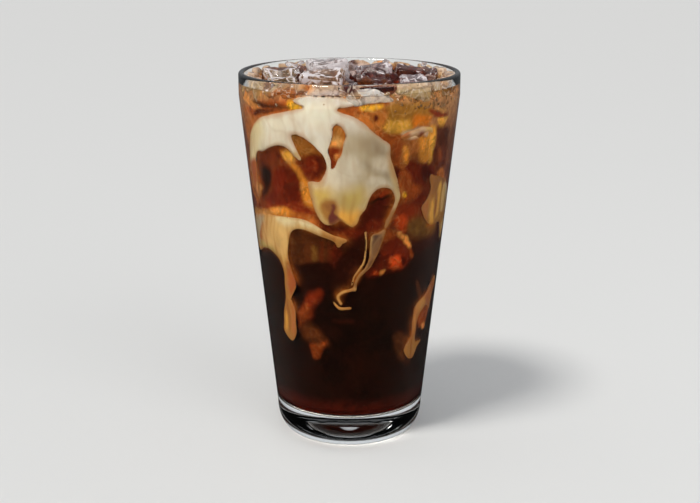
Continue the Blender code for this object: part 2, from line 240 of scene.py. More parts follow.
# Coffee without patches, by height in mm; the red at the floor is a painted glow
CORE_LAYERS = [
    (13, (120, 34, 20)), (15, (72, 18, 11)), (22, (26, 6, 5)), (60, (22, 6, 5)), (80, (34, 10, 8)),
    (90, (74, 26, 16)), (98, (112, 46, 26)), (112, (124, 60, 32)), (128, (148, 88, 52)),
    (140, (184, 134, 90)), (150, (200, 158, 116)),
]
CREAM_LAYERS = [
    (36, (190, 118, 52)), (60, (206, 142, 66)), (80, (222, 174, 98)), (97, (230, 194, 130)),
    (100, (226, 206, 162)), (110, (232, 218, 192)), (125, (238, 230, 214)), (146, (244, 238, 232)),
]

# Patches: tone, softness of the edge (mm) and outline (degrees, mm), each over those before it
# In the core, the amber, honey, yellow, orange, ember and peach patches are painted light: the glow of lamp
# light through ice under the surface of the coffee.
CORE_PATCHES = [
    # Left of the veil, from the surface down
    ("umber", 1, [(-74, 138.5), (-59.5, 137), (-51.5, 137), (-59.5, 133.5), (-69, 129), (-75.5, 123.5),
        (-75.5, 130)]),
    ("copper", 0.8, [(-67.5, 137.5), (-50.5, 142), (-37.5, 142.5), (-30, 143), (-24.5, 141.5), (-28, 139.5),
        (-35.5, 138.5), (-47, 137), (-55.5, 135.5), (-64.5, 135)]),
    ("yellow", 0.5, [(-33, 142.5), (-29, 142.5), (-24.5, 141.5), (-27.5, 140), (-32.5, 140)]),
    ("brown", 0.6, [(-43, 141.5), (-37, 141.5), (-36, 140.5), (-38, 139), (-42, 139)]),
    ("bark", 0.35, [(-63.5, 141.5), (-51, 141), (-40.5, 140.5), (-31.5, 141), (-31.5, 140.5), (-42, 139.5),
        (-53, 139.5), (-65, 140)]),
    ("peach", 0.3, [(-70.5, 143), (-60, 141), (-52, 138.5), (-55, 137.5), (-64.5, 139), (-72.5, 141)]),
    ("brown", 0.3, [(-57, 138), (-46.5, 139), (-38, 139), (-40.5, 138), (-51.5, 137), (-59.5, 135.5)]),
    ("rust", 0.7, [(-63.5, 122), (-52.5, 123), (-41.5, 126), (-35, 125.5), (-29.5, 124), (-25, 121),
        (-24.5, 116.5), (-22, 111), (-19.5, 103.5), (-16, 98), (-25, 97.5), (-35.5, 98.5), (-48.5, 99),
        (-64.5, 96), (-73, 99), (-70.5, 109.5)]),
    ("chestnut", 1, [(-62.5, 121), (-51.5, 122.5), (-43, 123.5), (-41, 120.5), (-44.5, 116.5),
        (-53.5, 114.5), (-63, 116)]),
    ("black", 1.6, [(-63.5, 115.5), (-54, 116.5), (-50, 114.5), (-51, 109.5), (-56.5, 104.5), (-63, 102.5),
        (-61.5, 107.5), (-63.5, 111)]),
    ("umber", 0.7, [(-77, 116), (-66, 115), (-65.5, 110), (-63.5, 105.5), (-70, 100.5), (-80, 103),
        (-80.5, 109.5)]),
    ("tan", 0.5, [(-68, 107.5), (-62.5, 107), (-64, 104), (-69, 102)]),
    ("maroon", 1, [(-50, 115), (-37.5, 118), (-30.5, 114.5), (-29.5, 109), (-30, 103), (-40.5, 101),
        (-56, 100), (-59.5, 102.5), (-51.5, 107.5)]),
    ("amber", 0.6, [(-40.5, 123.5), (-34.5, 124.5), (-31.5, 122.5), (-32.5, 120), (-29, 117.5), (-25, 114),
        (-22.5, 109.5), (-20, 103.5), (-22, 100.5), (-27, 103.5), (-28, 108.5), (-29.5, 113.5),
        (-33.5, 117.5), (-37.5, 120)]),
    ("honey", 0.6, [(-39, 123), (-34, 124), (-32.5, 122), (-34.5, 120.5), (-38, 120.5)]),
    ("russet", 1, [(-63, 100), (-44.5, 101.5), (-29.5, 103.5), (-21.5, 101.5), (-17.5, 98), (-25, 97.5),
        (-37, 99), (-56.5, 97.5)]),
    ("amber", 0.6, [(-56, 98.5), (-46, 100.5), (-38, 100.5), (-33.5, 98.5), (-40.5, 96.5), (-50.5, 96.5)]),
    ("tan", 0.8, [(-81.5, 95.5), (-61, 98), (-52.5, 97), (-57.5, 94), (-78.5, 92)]),
    ("umber", 1, [(-37, 99), (-26, 99), (-16, 97), (-11.5, 95), (-18.5, 95), (-30, 96)]),
    # Seen through the two holes of the veil
    ("bronze", 0.5, [(-35, 132), (-26.5, 132), (-18.5, 129), (-14, 124.5), (-13.5, 122.5), (-21.5, 120.5),
        (-28, 121.5), (-32, 126)]),
    ("maroon", 0.8, [(-28.5, 121), (-22.5, 123), (-16, 123.5), (-10.5, 121.5), (-10, 117), (-15.5, 112),
        (-23, 112), (-26, 116.5)]),
    ("wine", 0.6, [(-18, 122), (-13, 122.5), (-10.5, 118.5), (-13, 114.5), (-18.5, 114), (-20, 117.5)]),
    ("russet", 0.4, [(-20.5, 121), (-18, 120), (-18.5, 117), (-20.5, 116.5)]),
    ("tan", 0.5, [(-36.5, 132), (-32, 132), (-30, 130), (-33.5, 129)]),
    ("bronze", 0.5, [(-8.5, 135), (-4, 135), (-1, 131.5), (-2.5, 128.5), (-9, 129)]),
    ("tan", 0.6, [(-13, 129.5), (-4, 130), (-3.5, 125.5), (-12, 125)]),
    ("peach", 0.3, [(-9.5, 128), (-6.5, 128.5), (-7, 126.5), (-9.5, 126.5)]),
    ("russet", 0.6, [(-12, 125.5), (-3.5, 126), (-3.5, 122), (-8.5, 117.5), (-11, 120)]),
    ("peach", 0.3, [(-7, 123.5), (-5.5, 123.5), (-6, 121.5), (-7, 122)]),
    # Below the veil and in the loop of its tail
    ("maroon", 1, [(-19.5, 98.5), (-11.5, 97), (-2.5, 97.5), (1.5, 96.5), (7.5, 99), (8.5, 92.5),
        (-1.5, 90), (-11.5, 92.5), (-18.5, 95)]),
    ("wine", 0.7, [(-13.5, 98.5), (-8, 101.5), (-3.5, 100), (0.5, 96), (-6.5, 93.5), (-12.5, 94.5)]),
    ("wine", 0.5, [(4.5, 94), (4, 99), (7, 103.5), (11, 107), (15, 110), (19.5, 111), (24.5, 109.5),
        (27.5, 105.5), (26.5, 102.5), (23.5, 99), (20.5, 96), (16, 94)]),
    ("russet", 0.35, [(11.5, 107), (15, 109.5), (19, 110.5), (24, 109.5), (24, 108), (18.5, 106.5),
        (14, 106)]),
    ("black", 0.35, [(12, 105.5), (18.5, 106), (24, 107.5), (25, 106), (17.5, 105), (13, 104.5)]),
    ("maroon", 0.8, [(11, 97), (15.5, 98), (20.5, 96), (17, 93), (11, 93)]),
    # Right of the veil, from the surface down
    ("copper", 0.5, [(-7, 141.5), (-0.5, 142), (5.5, 143), (12.5, 143), (20.5, 143.5), (18.5, 141.5),
        (14.5, 140.5), (10.5, 139), (4.5, 137.5), (-1.5, 138.5)]),
    ("yellow", 0.4, [(5.5, 142), (11.5, 142.5), (17, 142.5), (15, 140.5), (9.5, 140), (6, 140.5)]),
    ("umber", 0.8, [(2.5, 138), (9.5, 139.5), (16.5, 140.5), (18.5, 136.5), (18.5, 133), (15, 132),
        (9.5, 133.5), (5.5, 136)]),
    ("wine", 0.4, [(12, 138.5), (14.5, 138.5), (15.5, 137), (13.5, 136), (12, 136.5)]),
    ("copper", 0.6, [(14, 133), (21.5, 131.5), (29, 131.5), (28, 128), (23.5, 126), (18.5, 128),
        (15.5, 130.5)]),
    ("ochre", 0.5, [(16.5, 141), (22, 142.5), (28.5, 142.5), (33.5, 141.5), (38.5, 139.5), (38.5, 135.5),
        (35, 133), (29.5, 131), (24, 131), (19, 132.5), (17, 136)]),
    # Painted light on the lit face of an ice cube under the surface
    ("honey", 0.8, [(19, 136), (25.5, 136.5), (33, 135), (34.5, 133), (29.5, 131.5), (23.5, 131.5),
        (19.5, 133.5)]),
    # Painted shade on the left side of the same cube
    ("umber", 0.5, [(16.5, 140.5), (19, 141), (20, 137.5), (19, 134.5), (17, 136)]),
    ("ochre", 0.8, [(33.5, 142), (44, 141.5), (49, 139.5), (48, 135.5), (42.5, 134), (37, 133.5),
        (34.5, 136.5)]),
    ("orange", 0.7, [(35, 137), (41.5, 137.5), (48, 136), (47, 133.5), (39.5, 133), (35, 133)]),
    ("russet", 0.4, [(45.5, 139.5), (52.5, 138), (63, 136), (62.5, 134), (53, 135), (48, 137)]),
    ("tan", 0.4, [(51, 139.5), (60.5, 138), (62, 136.5), (54.5, 137.5)]),
    # Painted highlight on the ice at the right edge
    ("honey", 0.3, [(53.5, 134.5), (64, 134.5), (63.5, 132.5), (59.5, 130.5), (56, 132)]),
    ("cream", 0.5, [(29, 131), (34.5, 132), (41, 132.5), (48, 131.5), (50, 129), (45.5, 129), (39, 129),
        (32.5, 129)]),
    ("brown", 0.3, [(39, 131.5), (42, 131), (42.5, 129), (39.5, 129.5)]),
    ("honey", 0.5, [(47, 132), (51.5, 132), (54, 129.5), (54, 125.5), (53, 122), (53, 118), (50.5, 117),
        (48, 123)]),
    ("amber", 0.6, [(39.5, 128), (44.5, 128.5), (49, 128), (50, 123), (50, 119), (45, 118.5), (41, 121.5)]),
    ("fawn", 0.8, [(20.5, 123), (22.5, 126), (26.5, 128.5), (31, 129), (39, 128.5), (40.5, 124), (39, 121),
        (34, 119.5), (32.5, 116.5), (27.5, 116.5), (22.5, 120)]),
    ("rust", 0.8, [(21.5, 123.5), (23.5, 126), (27, 128.5), (29.5, 126), (28.5, 122.5), (28.5, 118.5),
        (26, 117), (23, 120)]),
    ("amber", 0.4, [(31, 126), (33.5, 124.5), (33.5, 121.5), (34.5, 118.5), (31.5, 120), (30.5, 124)]),
    ("maroon", 0.6, [(33, 117.5), (36, 120), (42, 118.5), (48.5, 118), (56.5, 116), (59, 111), (59.5, 107),
        (55, 104), (49.5, 102.5), (42, 101.5), (33, 102), (33, 103.5), (40, 103.5), (46, 105), (48, 108),
        (42, 111), (36, 115)]),
    ("wine", 0.6, [(45.5, 116.5), (52.5, 115.5), (56, 111), (52.5, 108.5), (47.5, 111.5)]),
    ("rust", 0.6, [(28, 116.5), (34, 116), (38.5, 112), (43.5, 110), (47.5, 107.5), (44.5, 105),
        (38, 103.5), (31.5, 103.5), (28, 106.5), (27.5, 111.5)]),
    ("wine", 0.5, [(21.5, 121), (26, 118.5), (29.5, 116.5), (28.5, 112), (27, 110.5), (23.5, 115)]),
    # A painted glint on the ice, in a soft painted glow
    ("rust", 1, [(30, 109), (34, 110), (37.5, 107), (35, 104), (31, 104)]),
    ("yellow", 0.3, [(31.8, 106.8), (33.5, 107.6), (35.2, 106.2), (33.5, 105.4)]),
    ("brown", 0.8, [(53.5, 131.5), (67, 130.5), (70.5, 122.5), (70.5, 116.5), (68.5, 110.5), (62, 113),
        (55, 117), (54.5, 122.5), (55.5, 127)]),
    # A faint painted glint on the dark right edge
    ("rust", 0.9, [(59, 122), (62.5, 121.5), (64, 117.5), (60.5, 118)]),
    ("umber", 0.6, [(61, 113), (69, 113), (71, 106.5), (70.5, 100.5), (65, 105)]),
    ("russet", 0.5, [(27, 109), (30.5, 108), (30, 103), (27.5, 99), (25, 95), (23, 95), (26.5, 101),
        (28, 105)]),
    ("russet", 0.8, [(29, 103), (38.5, 102.5), (47, 101), (49.5, 97.5), (41.5, 95), (34, 94), (28.5, 96.5),
        (26.5, 99.5)]),
    ("ember", 0.9, [(29.5, 98), (33.5, 98.5), (38, 96.5), (37.5, 92), (32.5, 91.5), (28.5, 94.5)]),
    ("olive", 1.6, [(37, 95), (46.5, 96.5), (54.5, 94), (66.5, 92), (68.5, 87.5), (52, 87.5), (41, 89.5)]),
    # The window under the left plume and the shard below it
    ("bark", 0.6, [(-40.5, 91), (-30.5, 94), (-20.5, 92.5), (-10.5, 91), (-1, 87.5), (-2.5, 83.5),
        (-12, 81), (-25, 79.5), (-35.5, 78.5), (-42.5, 80)]),
    ("olive", 0.5, [(-25, 86.5), (-21.5, 86), (-21.5, 81), (-25, 80.5)]),
    ("brown", 0.4, [(-19, 88.5), (-16.5, 88), (-17, 80.5), (-19.5, 80.5)]),
    ("brown", 0.4, [(-14, 88), (-11.5, 87.5), (-12.5, 81), (-14.5, 81)]),
    ("maroon", 0.8, [(-11, 86.5), (-5, 87), (-5, 80.5), (-11.5, 78.5)]),
    ("ink", 2, [(-12, 81), (-2.5, 87), (8.5, 90), (12.5, 86), (6.5, 75.5), (-4.5, 72), (-12.5, 75)]),
    ("russet", 1.2, [(-34, 62.5), (-28, 66.5), (-19.5, 68), (-21, 64.5), (-25.5, 61), (-28.5, 56.5),
        (-34.5, 54), (-38.5, 56), (-37, 60)]),
    ("rust", 0.9, [(-38, 58), (-31.5, 62), (-28, 60.5), (-30, 56.5), (-36, 53.5), (-40, 51)]),
    ("black", 0.5, [(-41, 64.5), (-33, 63.5), (-36.5, 60.5), (-40.5, 57.5)]),
    ("bark", 1.2, [(-39, 52.5), (-31, 54.5), (-25, 51.5), (-18, 47.5), (-15.5, 44.5), (-23, 45),
        (-32.5, 45.5), (-39, 48)]),
    ("rust", 0.7, [(-31, 44.5), (-22.5, 45.5), (-17.5, 46), (-20.5, 42.5), (-23.5, 39.5), (-29, 39),
        (-31, 42)]),
    # The red ice low at the right
    ("maroon", 1.2, [(18.5, 80.5), (21.5, 87), (25, 91), (31.5, 91.5), (38, 88), (42, 82.5), (43, 78.5),
        (37.5, 76.5), (28, 76), (18.5, 75), (13, 74.5), (11.5, 77.5)]),
    ("ember", 0.9, [(26, 80), (31.5, 82), (36, 81), (40, 78), (33.5, 77), (27.5, 77.5)]),
    ("rust", 0.6, [(21, 92.5), (26, 93), (31.5, 91.5), (28, 89), (22.5, 88.5)]),
    # Painted highlight along the bright edge of the red ice
    ("peach", 0.3, [(31, 92), (35.5, 90.5), (40.5, 87.5), (43.5, 84.5), (41, 84.5), (37.5, 87), (34, 89),
        (31, 90.5)]),
    ("rust", 0.4, [(41, 85), (43.5, 84), (47, 80.5), (45.5, 79), (42.5, 81.5)]),
    ("wine", 0.4, [(36, 81.5), (40.5, 79.5), (40, 77), (36.5, 78.5)]),
    # Painted highlights at the foot of the red ice
    ("peach", 0.25, [(20, 76), (22, 77), (24.5, 76.5), (23.5, 75.5), (21, 75)]),
    ("ember", 0.3, [(16, 77), (19.5, 76.5), (19.5, 75), (16.5, 75.5)]),
    ("ink", 0.6, [(-12, 56), (-3.5, 56), (4.5, 55.5), (-3.5, 54.5), (-12, 54.5)]),
    # Round the stream at the right edge
    ("rust", 0.6, [(56.5, 60.5), (69, 63), (74.5, 57.5), (72.5, 50), (62.5, 48.5), (56.5, 54)]),
    ("peach", 0.3, [(65, 49.5), (71, 49), (72.5, 46.5), (66.5, 47.5)]),
    ("bark", 1.2, [(35.5, 47), (43.5, 48), (51, 44), (51.5, 39), (48.5, 36), (39.5, 40)]),
    ("bark", 0.4, [(53, 69.5), (57, 67.5), (60, 62), (56, 62.5)]),
]

CREAM_PATCHES = [
    # The veil
    # Painted light: the upper left of the veil, which faces the lamp, is whiter
    ("pearl", 2, [(-63, 132.5), (-52, 136), (-38, 137), (-28.5, 136.5), (-26.5, 133.5), (-36, 131),
        (-49, 126), (-63.5, 125.5)]),
    ("pearl", 2, [(-28, 141.5), (-9.5, 143), (-8, 138), (-14, 133), (-24, 135)]),
    ("parchment", 2, [(-72, 132.5), (-57.5, 136.5), (-52.5, 133), (-54.5, 126.5), (-60, 121), (-75, 122)]),
    ("parchment", 1, [(-72.5, 122), (-61.5, 123.5), (-64, 117.5), (-74.5, 116)]),
    ("copper", 0.8, [(-75, 115), (-61.5, 117.5), (-57, 110.5), (-57, 103), (-69, 100), (-75, 105.5)]),
    ("peach", 0.5, [(-68.5, 107), (-62.5, 108), (-61, 104.5), (-67, 103.5)]),
    # Painted shade: the right of the veil, turned from the lamp, is greyer, with darker ash folds and
    # lighter ivory places
    ("silt", 3, [(-5.5, 127), (1.5, 133.5), (15, 131), (23, 125), (24, 119), (27, 113), (28.5, 109),
        (20, 111), (12.5, 111), (6, 109.5), (0.5, 111.5), (-4, 118)]),
    ("ash", 2.2, [(10.5, 130), (15, 130), (20, 127), (21, 122), (15.5, 121.5), (11, 124.5)]),
    ("ash", 1, [(6, 119.5), (13.5, 121), (21.5, 117.5), (23.5, 114), (19, 115), (12.5, 117.5)]),
    ("ivory", 1, [(12.5, 115.5), (20.5, 112.5), (19.5, 111), (11.5, 112.5)]),
    ("ivory", 1.5, [(-3, 122), (4, 123), (6.5, 117), (0.5, 114)]),
    ("ivory", 1.2, [(12.5, 121.5), (20.5, 122), (22, 118.5), (15, 117.5)]),
    ("straw", 1.8, [(-23, 109.5), (-13, 110.5), (-8.5, 107), (-10.5, 101), (-16.5, 98), (-20.5, 102.5)]),
    ("lime", 2, [(-6.5, 108.5), (1.5, 110.5), (7, 111.5), (10.5, 107), (6, 101.5), (0.5, 98),
        (-6.5, 101.5)]),
    ("honey", 1.5, [(-6.5, 102), (0.5, 101.5), (6, 101.5), (4.5, 95), (-2.5, 94.5), (-8, 97.5)]),
    # Painted shade at the bottom of the left lobe of the veil
    ("ochre", 0.8, [(-17, 103.5), (-12.5, 106.5), (-7, 105), (-6.5, 99.5), (-11.5, 97), (-16, 99)]),
    ("bronze", 0.7, [(-14, 104), (-12.5, 104.5), (-10.5, 105), (-8.5, 105), (-8, 103.5), (-9.5, 101),
        (-11.5, 101), (-13.5, 102)]),
    ("maroon", 0.35, [(-10, 104), (-8.5, 104), (-8.5, 102.5), (-9, 101), (-7, 99.5), (-5.5, 98.5),
        (-3.5, 97), (-3, 96), (-7, 95.5), (-11.5, 96), (-12.5, 98.5), (-12, 100), (-10, 103)]),
    ("sand", 0.8, [(22.5, 121), (26.5, 116.5), (30, 109), (31.5, 105), (29.5, 99.5), (26, 95.5), (23, 97.5),
        (26.5, 103), (26.5, 107.5), (24, 113.5)]),
    ("sand", 0.7, [(-29.5, 124.5), (-25.5, 121), (-29.5, 121), (-32, 123.5)]),
    ("sand", 0.8, [(-25.5, 112.5), (-21.5, 112), (-19, 102.5), (-15.5, 97), (-18.5, 97.5), (-23, 104)]),
    # The left plume
    ("silt", 1, [(-86, 93), (-64.5, 96.5), (-62.5, 91), (-74, 81), (-82.5, 85.5)]),
    ("umber", 0.6, [(-66, 92), (-61.5, 89.5), (-64, 83), (-72.5, 80), (-73.5, 85)]),
    ("ochre", 0.7, [(-45.5, 78), (-42, 78.5), (-45, 63), (-49, 63.5)]),
    ("lime", 0.8, [(-75, 83), (-61, 84), (-52, 82.5), (-47, 79.5), (-55, 80.5), (-68.5, 80)]),
    ("parchment", 1, [(-49, 96.5), (-30, 98), (-18.5, 96.5), (-11.5, 93), (-17.5, 93), (-30.5, 95),
        (-42.5, 94)]),
    ("wheat", 1.5, [(-63, 92.5), (-44.5, 93), (-41, 88), (-45, 80.5), (-54.5, 83), (-66.5, 84.5)]),
    ("apricot", 0.8, [(28, 129), (29.5, 132.5), (38.5, 133), (47, 134), (48, 129.5), (37.5, 128)]),
    ("umber", 0.8, [(26, 128), (27, 131.5), (31.5, 133), (33.5, 131), (32, 128)]),
    ("russet", 0.7, [(39, 130.5), (42, 131), (44, 129.5), (43, 127.5), (39.5, 127.5)]),
    ("wheat", 0.8, [(44.5, 134), (52, 133), (53, 129), (46, 129.5)]),
    ("ochre", 0.8, [(-17.5, 93), (-9, 91.5), (-1, 90), (-7, 86), (-11.5, 88.5)]),
    ("copper", 0.8, [(-41, 78.5), (-38.5, 75.5), (-36, 70), (-38.5, 66.5), (-43, 64), (-44, 69),
        (-43, 74.5)]),
    ("ochre", 1, [(-51.5, 62), (-40, 62), (-38.5, 50), (-45.5, 44), (-54, 45), (-55.5, 52)]),
    # Painted shade on the right side of the lower drip, and painted light on its left side
    ("umber", 0.8, [(-43.5, 62.5), (-38.5, 60.5), (-38.5, 50), (-44.5, 47.5), (-44, 54.5)]),
    ("honey", 0.6, [(-49.5, 56.5), (-47, 55), (-48.5, 50), (-52, 48.5)]),
    # The ribbon under the veil, and the streams at the right
    ("hazel", 1, [(13.5, 94.5), (22, 96), (22.5, 87), (18, 80.5), (10.5, 76), (5.5, 71), (1.5, 71),
        (8, 77.5), (12.5, 83.5)]),
    ("taupe", 0.6, [(16, 89.5), (19.5, 91), (18, 85.5), (14, 81), (14, 85)]),
    ("drab", 0.8, [(19, 100), (28, 101), (24.5, 95), (21, 91), (17, 93)]),
    ("ochre", 1, [(44.5, 105.5), (53.5, 112.5), (66, 110), (81.5, 93), (57.5, 91.5), (44.5, 98)]),
    ("bronze", 1, [(52, 115), (72, 113), (75, 107), (64, 106), (57, 104), (50, 107)]),
    ("umber", 0.8, [(47, 103), (52, 103), (54, 98), (53, 93), (48, 95), (46, 99)]),
    ("honey", 0.6, [(55.5, 100), (58, 102), (60.5, 97), (62, 92), (58, 90.5), (56, 94.5)]),
    ("honey", 0.5, [(63, 108), (66, 108.5), (66.5, 103), (66.5, 95), (63.5, 94), (63, 102)]),
    ("fawn", 0.4, [(60.5, 105), (62, 104), (62.5, 97), (61.5, 94), (60.5, 99)]),
    ("wheat", 0.5, [(69, 107), (74, 106), (75, 97), (70, 96)]),
    ("ochre", 1, [(42.5, 45.5), (52.5, 46.5), (65, 43), (57.5, 39), (51, 35.5), (44, 38)]),
    ("umber", 0.7, [(58.5, 66.5), (83.5, 65.5), (82.5, 56), (76, 52), (64, 59.5)]),
]

RIM_PATCHES = [
    ("sand", 1.5, [(-76, 146.5), (-25.5, 150), (-24, 144.5), (-31.5, 143), (-50.5, 142), (-73.5, 139)]),
    ("umber", 1, [(-46, 147), (-31, 148.5), (-24, 147), (-25.5, 144), (-37.5, 143), (-46, 143.5)]),
    ("sand", 0.8, [(-64.5, 147), (-43, 149), (-46, 145.5), (-62, 144)]),
    ("apricot", 1.5, [(-24.5, 150), (-1.5, 150.5), (-2, 145), (-9.5, 144), (-24, 144)]),
    ("peach", 0.6, [(-24.5, 150), (-19, 150), (-18.5, 147.5), (-24, 147)]),
    ("blush", 0.8, [(-19, 147), (-3.5, 147.5), (-2.5, 145), (-18, 144)]),
    ("wine", 0.5, [(-3, 150.5), (0.5, 151), (4, 150.5), (4, 148), (1.5, 146.5), (-2, 146.5), (-3.5, 148)]),
    ("maroon", 0.5, [(3.5, 152), (17.5, 151.5), (19, 149.5), (11.5, 148.5), (4.5, 148.5)]),
    # Painted reflection: a pale band mirrored in the glass
    ("apricot", 2, [(18.5, 150.5), (41, 149.5), (46.5, 147), (26, 147), (19.5, 148)]),
    ("sand", 1, [(18.5, 147.5), (53, 147.5), (67.5, 144.5), (69, 138.5), (45.5, 141), (26.5, 142.5),
        (19.5, 144)]),
    ("ochre", 1, [(54, 148), (70.5, 146.5), (72.5, 138.5), (57.5, 140)]),
]
RIM_LAYERS = [(138, (170, 112, 66)), (144, (196, 142, 92)), (147, (214, 176, 136)), (150, (226, 204, 184))]
DOME = [
    (-2, 143.5), (-1, 145.5), (1.5, 147), (5, 148), (9, 148.5), (13.5, 148), (17.5, 146.5), (20.5, 145),
    (23, 143.5), (20.5, 143), (14.5, 143), (8, 142.5), (3, 142),
]

# Blocks of ice above the drink: tint of each, and how much of it is white with frost
# Their pale tints are partly painted light: lilac and blush for reflections of the lamps, apricot and sand
# for light from the cream below.
ICE_TINTS = {
    "ice_01": ("apricot", 0.85), "ice_02": ("frost", 0.95), "ice_03": ("sand", 0.8),
    "ice_04": ("fawn", 0.4), "ice_05": ("maroon", 0.5), "ice_06": ("lilac", 0.9),
    "ice_07": ("chestnut", 0.35), "ice_08": ("lilac", 0.5), "ice_09": ("chestnut", 0.4),
    "ice_10": ("umber", 0.6), "ice_11": ("frost", 0.9), "ice_12": ("sand", 0.6),
    "ice_13": ("blush", 0.6), "ice_14": ("blush", 0.5),
}


def slanted(start, end, share):
    return start + (end - start) * share


def spaced(start, end, steps):
    return [slanted(start, end, step / steps) for step in range(steps + 1)]


def outer_radius(height):
    return slanted(FOOT_RADIUS, RIM_RADIUS, min(height, SHOULDER) / SHOULDER)


def inner_radius(height):
    low = FLOOR_TOP + FLOOR_FILLET
    share = (np.minimum(height, SHOULDER) - low) / (SHOULDER - low)
    return slanted(outer_radius(low) - FLOOR_WALL, RIM_RADIUS - RIM_WALL, share)


def arc(centre, radii, start, end, steps):
    angles = [math.radians(angle) for angle in spaced(start, end, steps)]
    return [(centre[0] + radii[0] * math.cos(a), centre[1] + radii[1] * math.sin(a)) for a in angles]


def linear(red, green, blue):
    """A display colour, 0 to 255, as the shader's linear one."""
    def channel(value):
        value /= 255
        return value / 12.92 if value <= 0.04045 else ((value + 0.055) / 1.055) ** 2.4
    return (channel(red), channel(green), channel(blue), 1)


# Materials

MIX_SOCKETS = (0, 6, 7)          # the share and the two colours among the inputs of a Mix node


def new_material(name):
    finish = bpy.data.materials.new(name)
    finish.use_nodes = True
    return finish, finish.node_tree, finish.node_tree.nodes["Principled BSDF"]


def add_node(tree, kind, **settings):
    node = tree.nodes.new("ShaderNode" + kind)
    for key, value in settings.items():
        setattr(node, key, value)
    return node


def fill(node, values):
    for name, value in values.items():
        node.inputs[name].default_value = value


def attribute(tree, name):
    return add_node(tree, "Attribute", attribute_name=name).outputs["Fac"]


def texture_noise(tree, scale, detail=3.0, stretch=(1, 1, 1), distortion=0.0):
    place = add_node(tree, "TexCoord").outputs["Object"]
    mapping = add_node(tree, "Mapping")
    fill(mapping, {"Scale": stretch})
    tree.links.new(place, mapping.inputs["Vector"])
    node = add_node(tree, "TexNoise")
    fill(node, {"Scale": scale, "Detail": detail, "Distortion": distortion})
    tree.links.new(mapping.outputs["Vector"], node.inputs["Vector"])
    return node.outputs["Fac"]


def math_node(tree, operation, first, second=0.0, clamp=False):
    node = add_node(tree, "Math", operation=operation, use_clamp=clamp)
    for socket, value in zip(node.inputs, (first, second)):
        if isinstance(value, (int, float)):
            socket.default_value = value
        else:
            tree.links.new(value, socket)
    return node.outputs["Value"]


def map_range(tree, value, low, high, out_low=0.0, out_high=1.0):
    node = add_node(tree, "MapRange")
    tree.links.new(value, node.inputs["Value"])
    fill(node, {"From Min": low, "From Max": high, "To Min": out_low, "To Max": out_high})
    return node.outputs["Result"]


def mix_color(tree, factor, first, second, blend="MIX"):
    node = add_node(tree, "Mix", data_type="RGBA", blend_type=blend)
    for index, value in zip(MIX_SOCKETS, (factor, first, second)):
        socket = node.inputs[index]
        if isinstance(value, (int, float, tuple)):
            socket.default_value = value
        else:
            tree.links.new(value, socket)
    return node.outputs[2]


def bump(tree, shader, height, strength, distance):
    node = add_node(tree, "Bump")
    fill(node, {"Strength": strength, "Distance": distance})
    tree.links.new(height, node.inputs["Height"])
    tree.links.new(node.outputs["Normal"], shader.inputs["Normal"])


def clouded(tree, shader, clear, dull, scale):
    """A base colour that drifts softly between two clear tones."""
    cloud = texture_noise(tree, scale, 2)
    tree.links.new(mix_color(tree, cloud, clear, dull), shader.inputs["Base Color"])


def glass_material(name, gleam):
    """Clear glass; gleam is how much of a mirror it is, less where it touches the drink."""
    finish, tree, shader = new_material(name)
    clouded(tree, shader, (0.98, 0.99, 0.99, 1), (0.955, 0.98, 0.97, 1), 25)
    fill(shader, {"Roughness": 0.0, "IOR": 1.5, "Transmission Weight": 1,
                  "Specular Tint": (gleam, gleam, gleam, 1)})
    return finish


def coffee_material(name, gleam):
    """Thin coffee that browns what lies deeper in it."""
    finish, tree, shader = new_material(name)
    clouded(tree, shader, (1, 1, 1, 1), (1, 0.97, 0.93, 1), 40)
    fill(shader, {"Roughness": 0.0, "IOR": 1.34, "Transmission Weight": 1,
                  "Specular Tint": (gleam, gleam, gleam, 1)})
    absorb = add_node(tree, "VolumeAbsorption")
    fill(absorb, {"Color": COFFEE_LEFT, "Density": COFFEE_DENSITY})
    tree.links.new(absorb.outputs["Volume"], tree.nodes["Material Output"].inputs["Volume"])
    return finish


def paint(tree):
    return add_node(tree, "Attribute", attribute_name="paint").outputs["Color"]


def grey(tree, color):
    node = add_node(tree, "RGBToBW")
    tree.links.new(color, node.inputs["Color"])
    return node.outputs["Val"]


def veins(tree, scale, stretch, width):
    """Thin curved lines, 1 on the line and 0 beside it."""
    field = texture_noise(tree, scale, 2, stretch, 1.2)
    gap = math_node(tree, "ABSOLUTE", math_node(tree, "SUBTRACT", field, 0.5))
    return map_range(tree, gap, 0.0, width, 1.0, 0.0)


def facets(tree):
    """A grey from 0 to 1 that differs from cell to cell, the cells' sides bent by noise."""
    bend = add_node(tree, "TexNoise")
    fill(bend, {"Scale": 60})
    shift = add_node(tree, "VectorMath", operation="MULTIPLY_ADD")
    tree.links.new(bend.outputs["Color"], shift.inputs[0])
    shift.inputs[1].default_value = (0.012, 0.012, 0.012)
    tree.links.new(add_node(tree, "TexCoord").outputs["Object"], shift.inputs[2])
    cells = add_node(tree, "TexVoronoi")
    fill(cells, {"Scale": 120})
    tree.links.new(shift.outputs["Vector"], cells.inputs["Vector"])
    return grey(tree, cells.outputs["Color"])


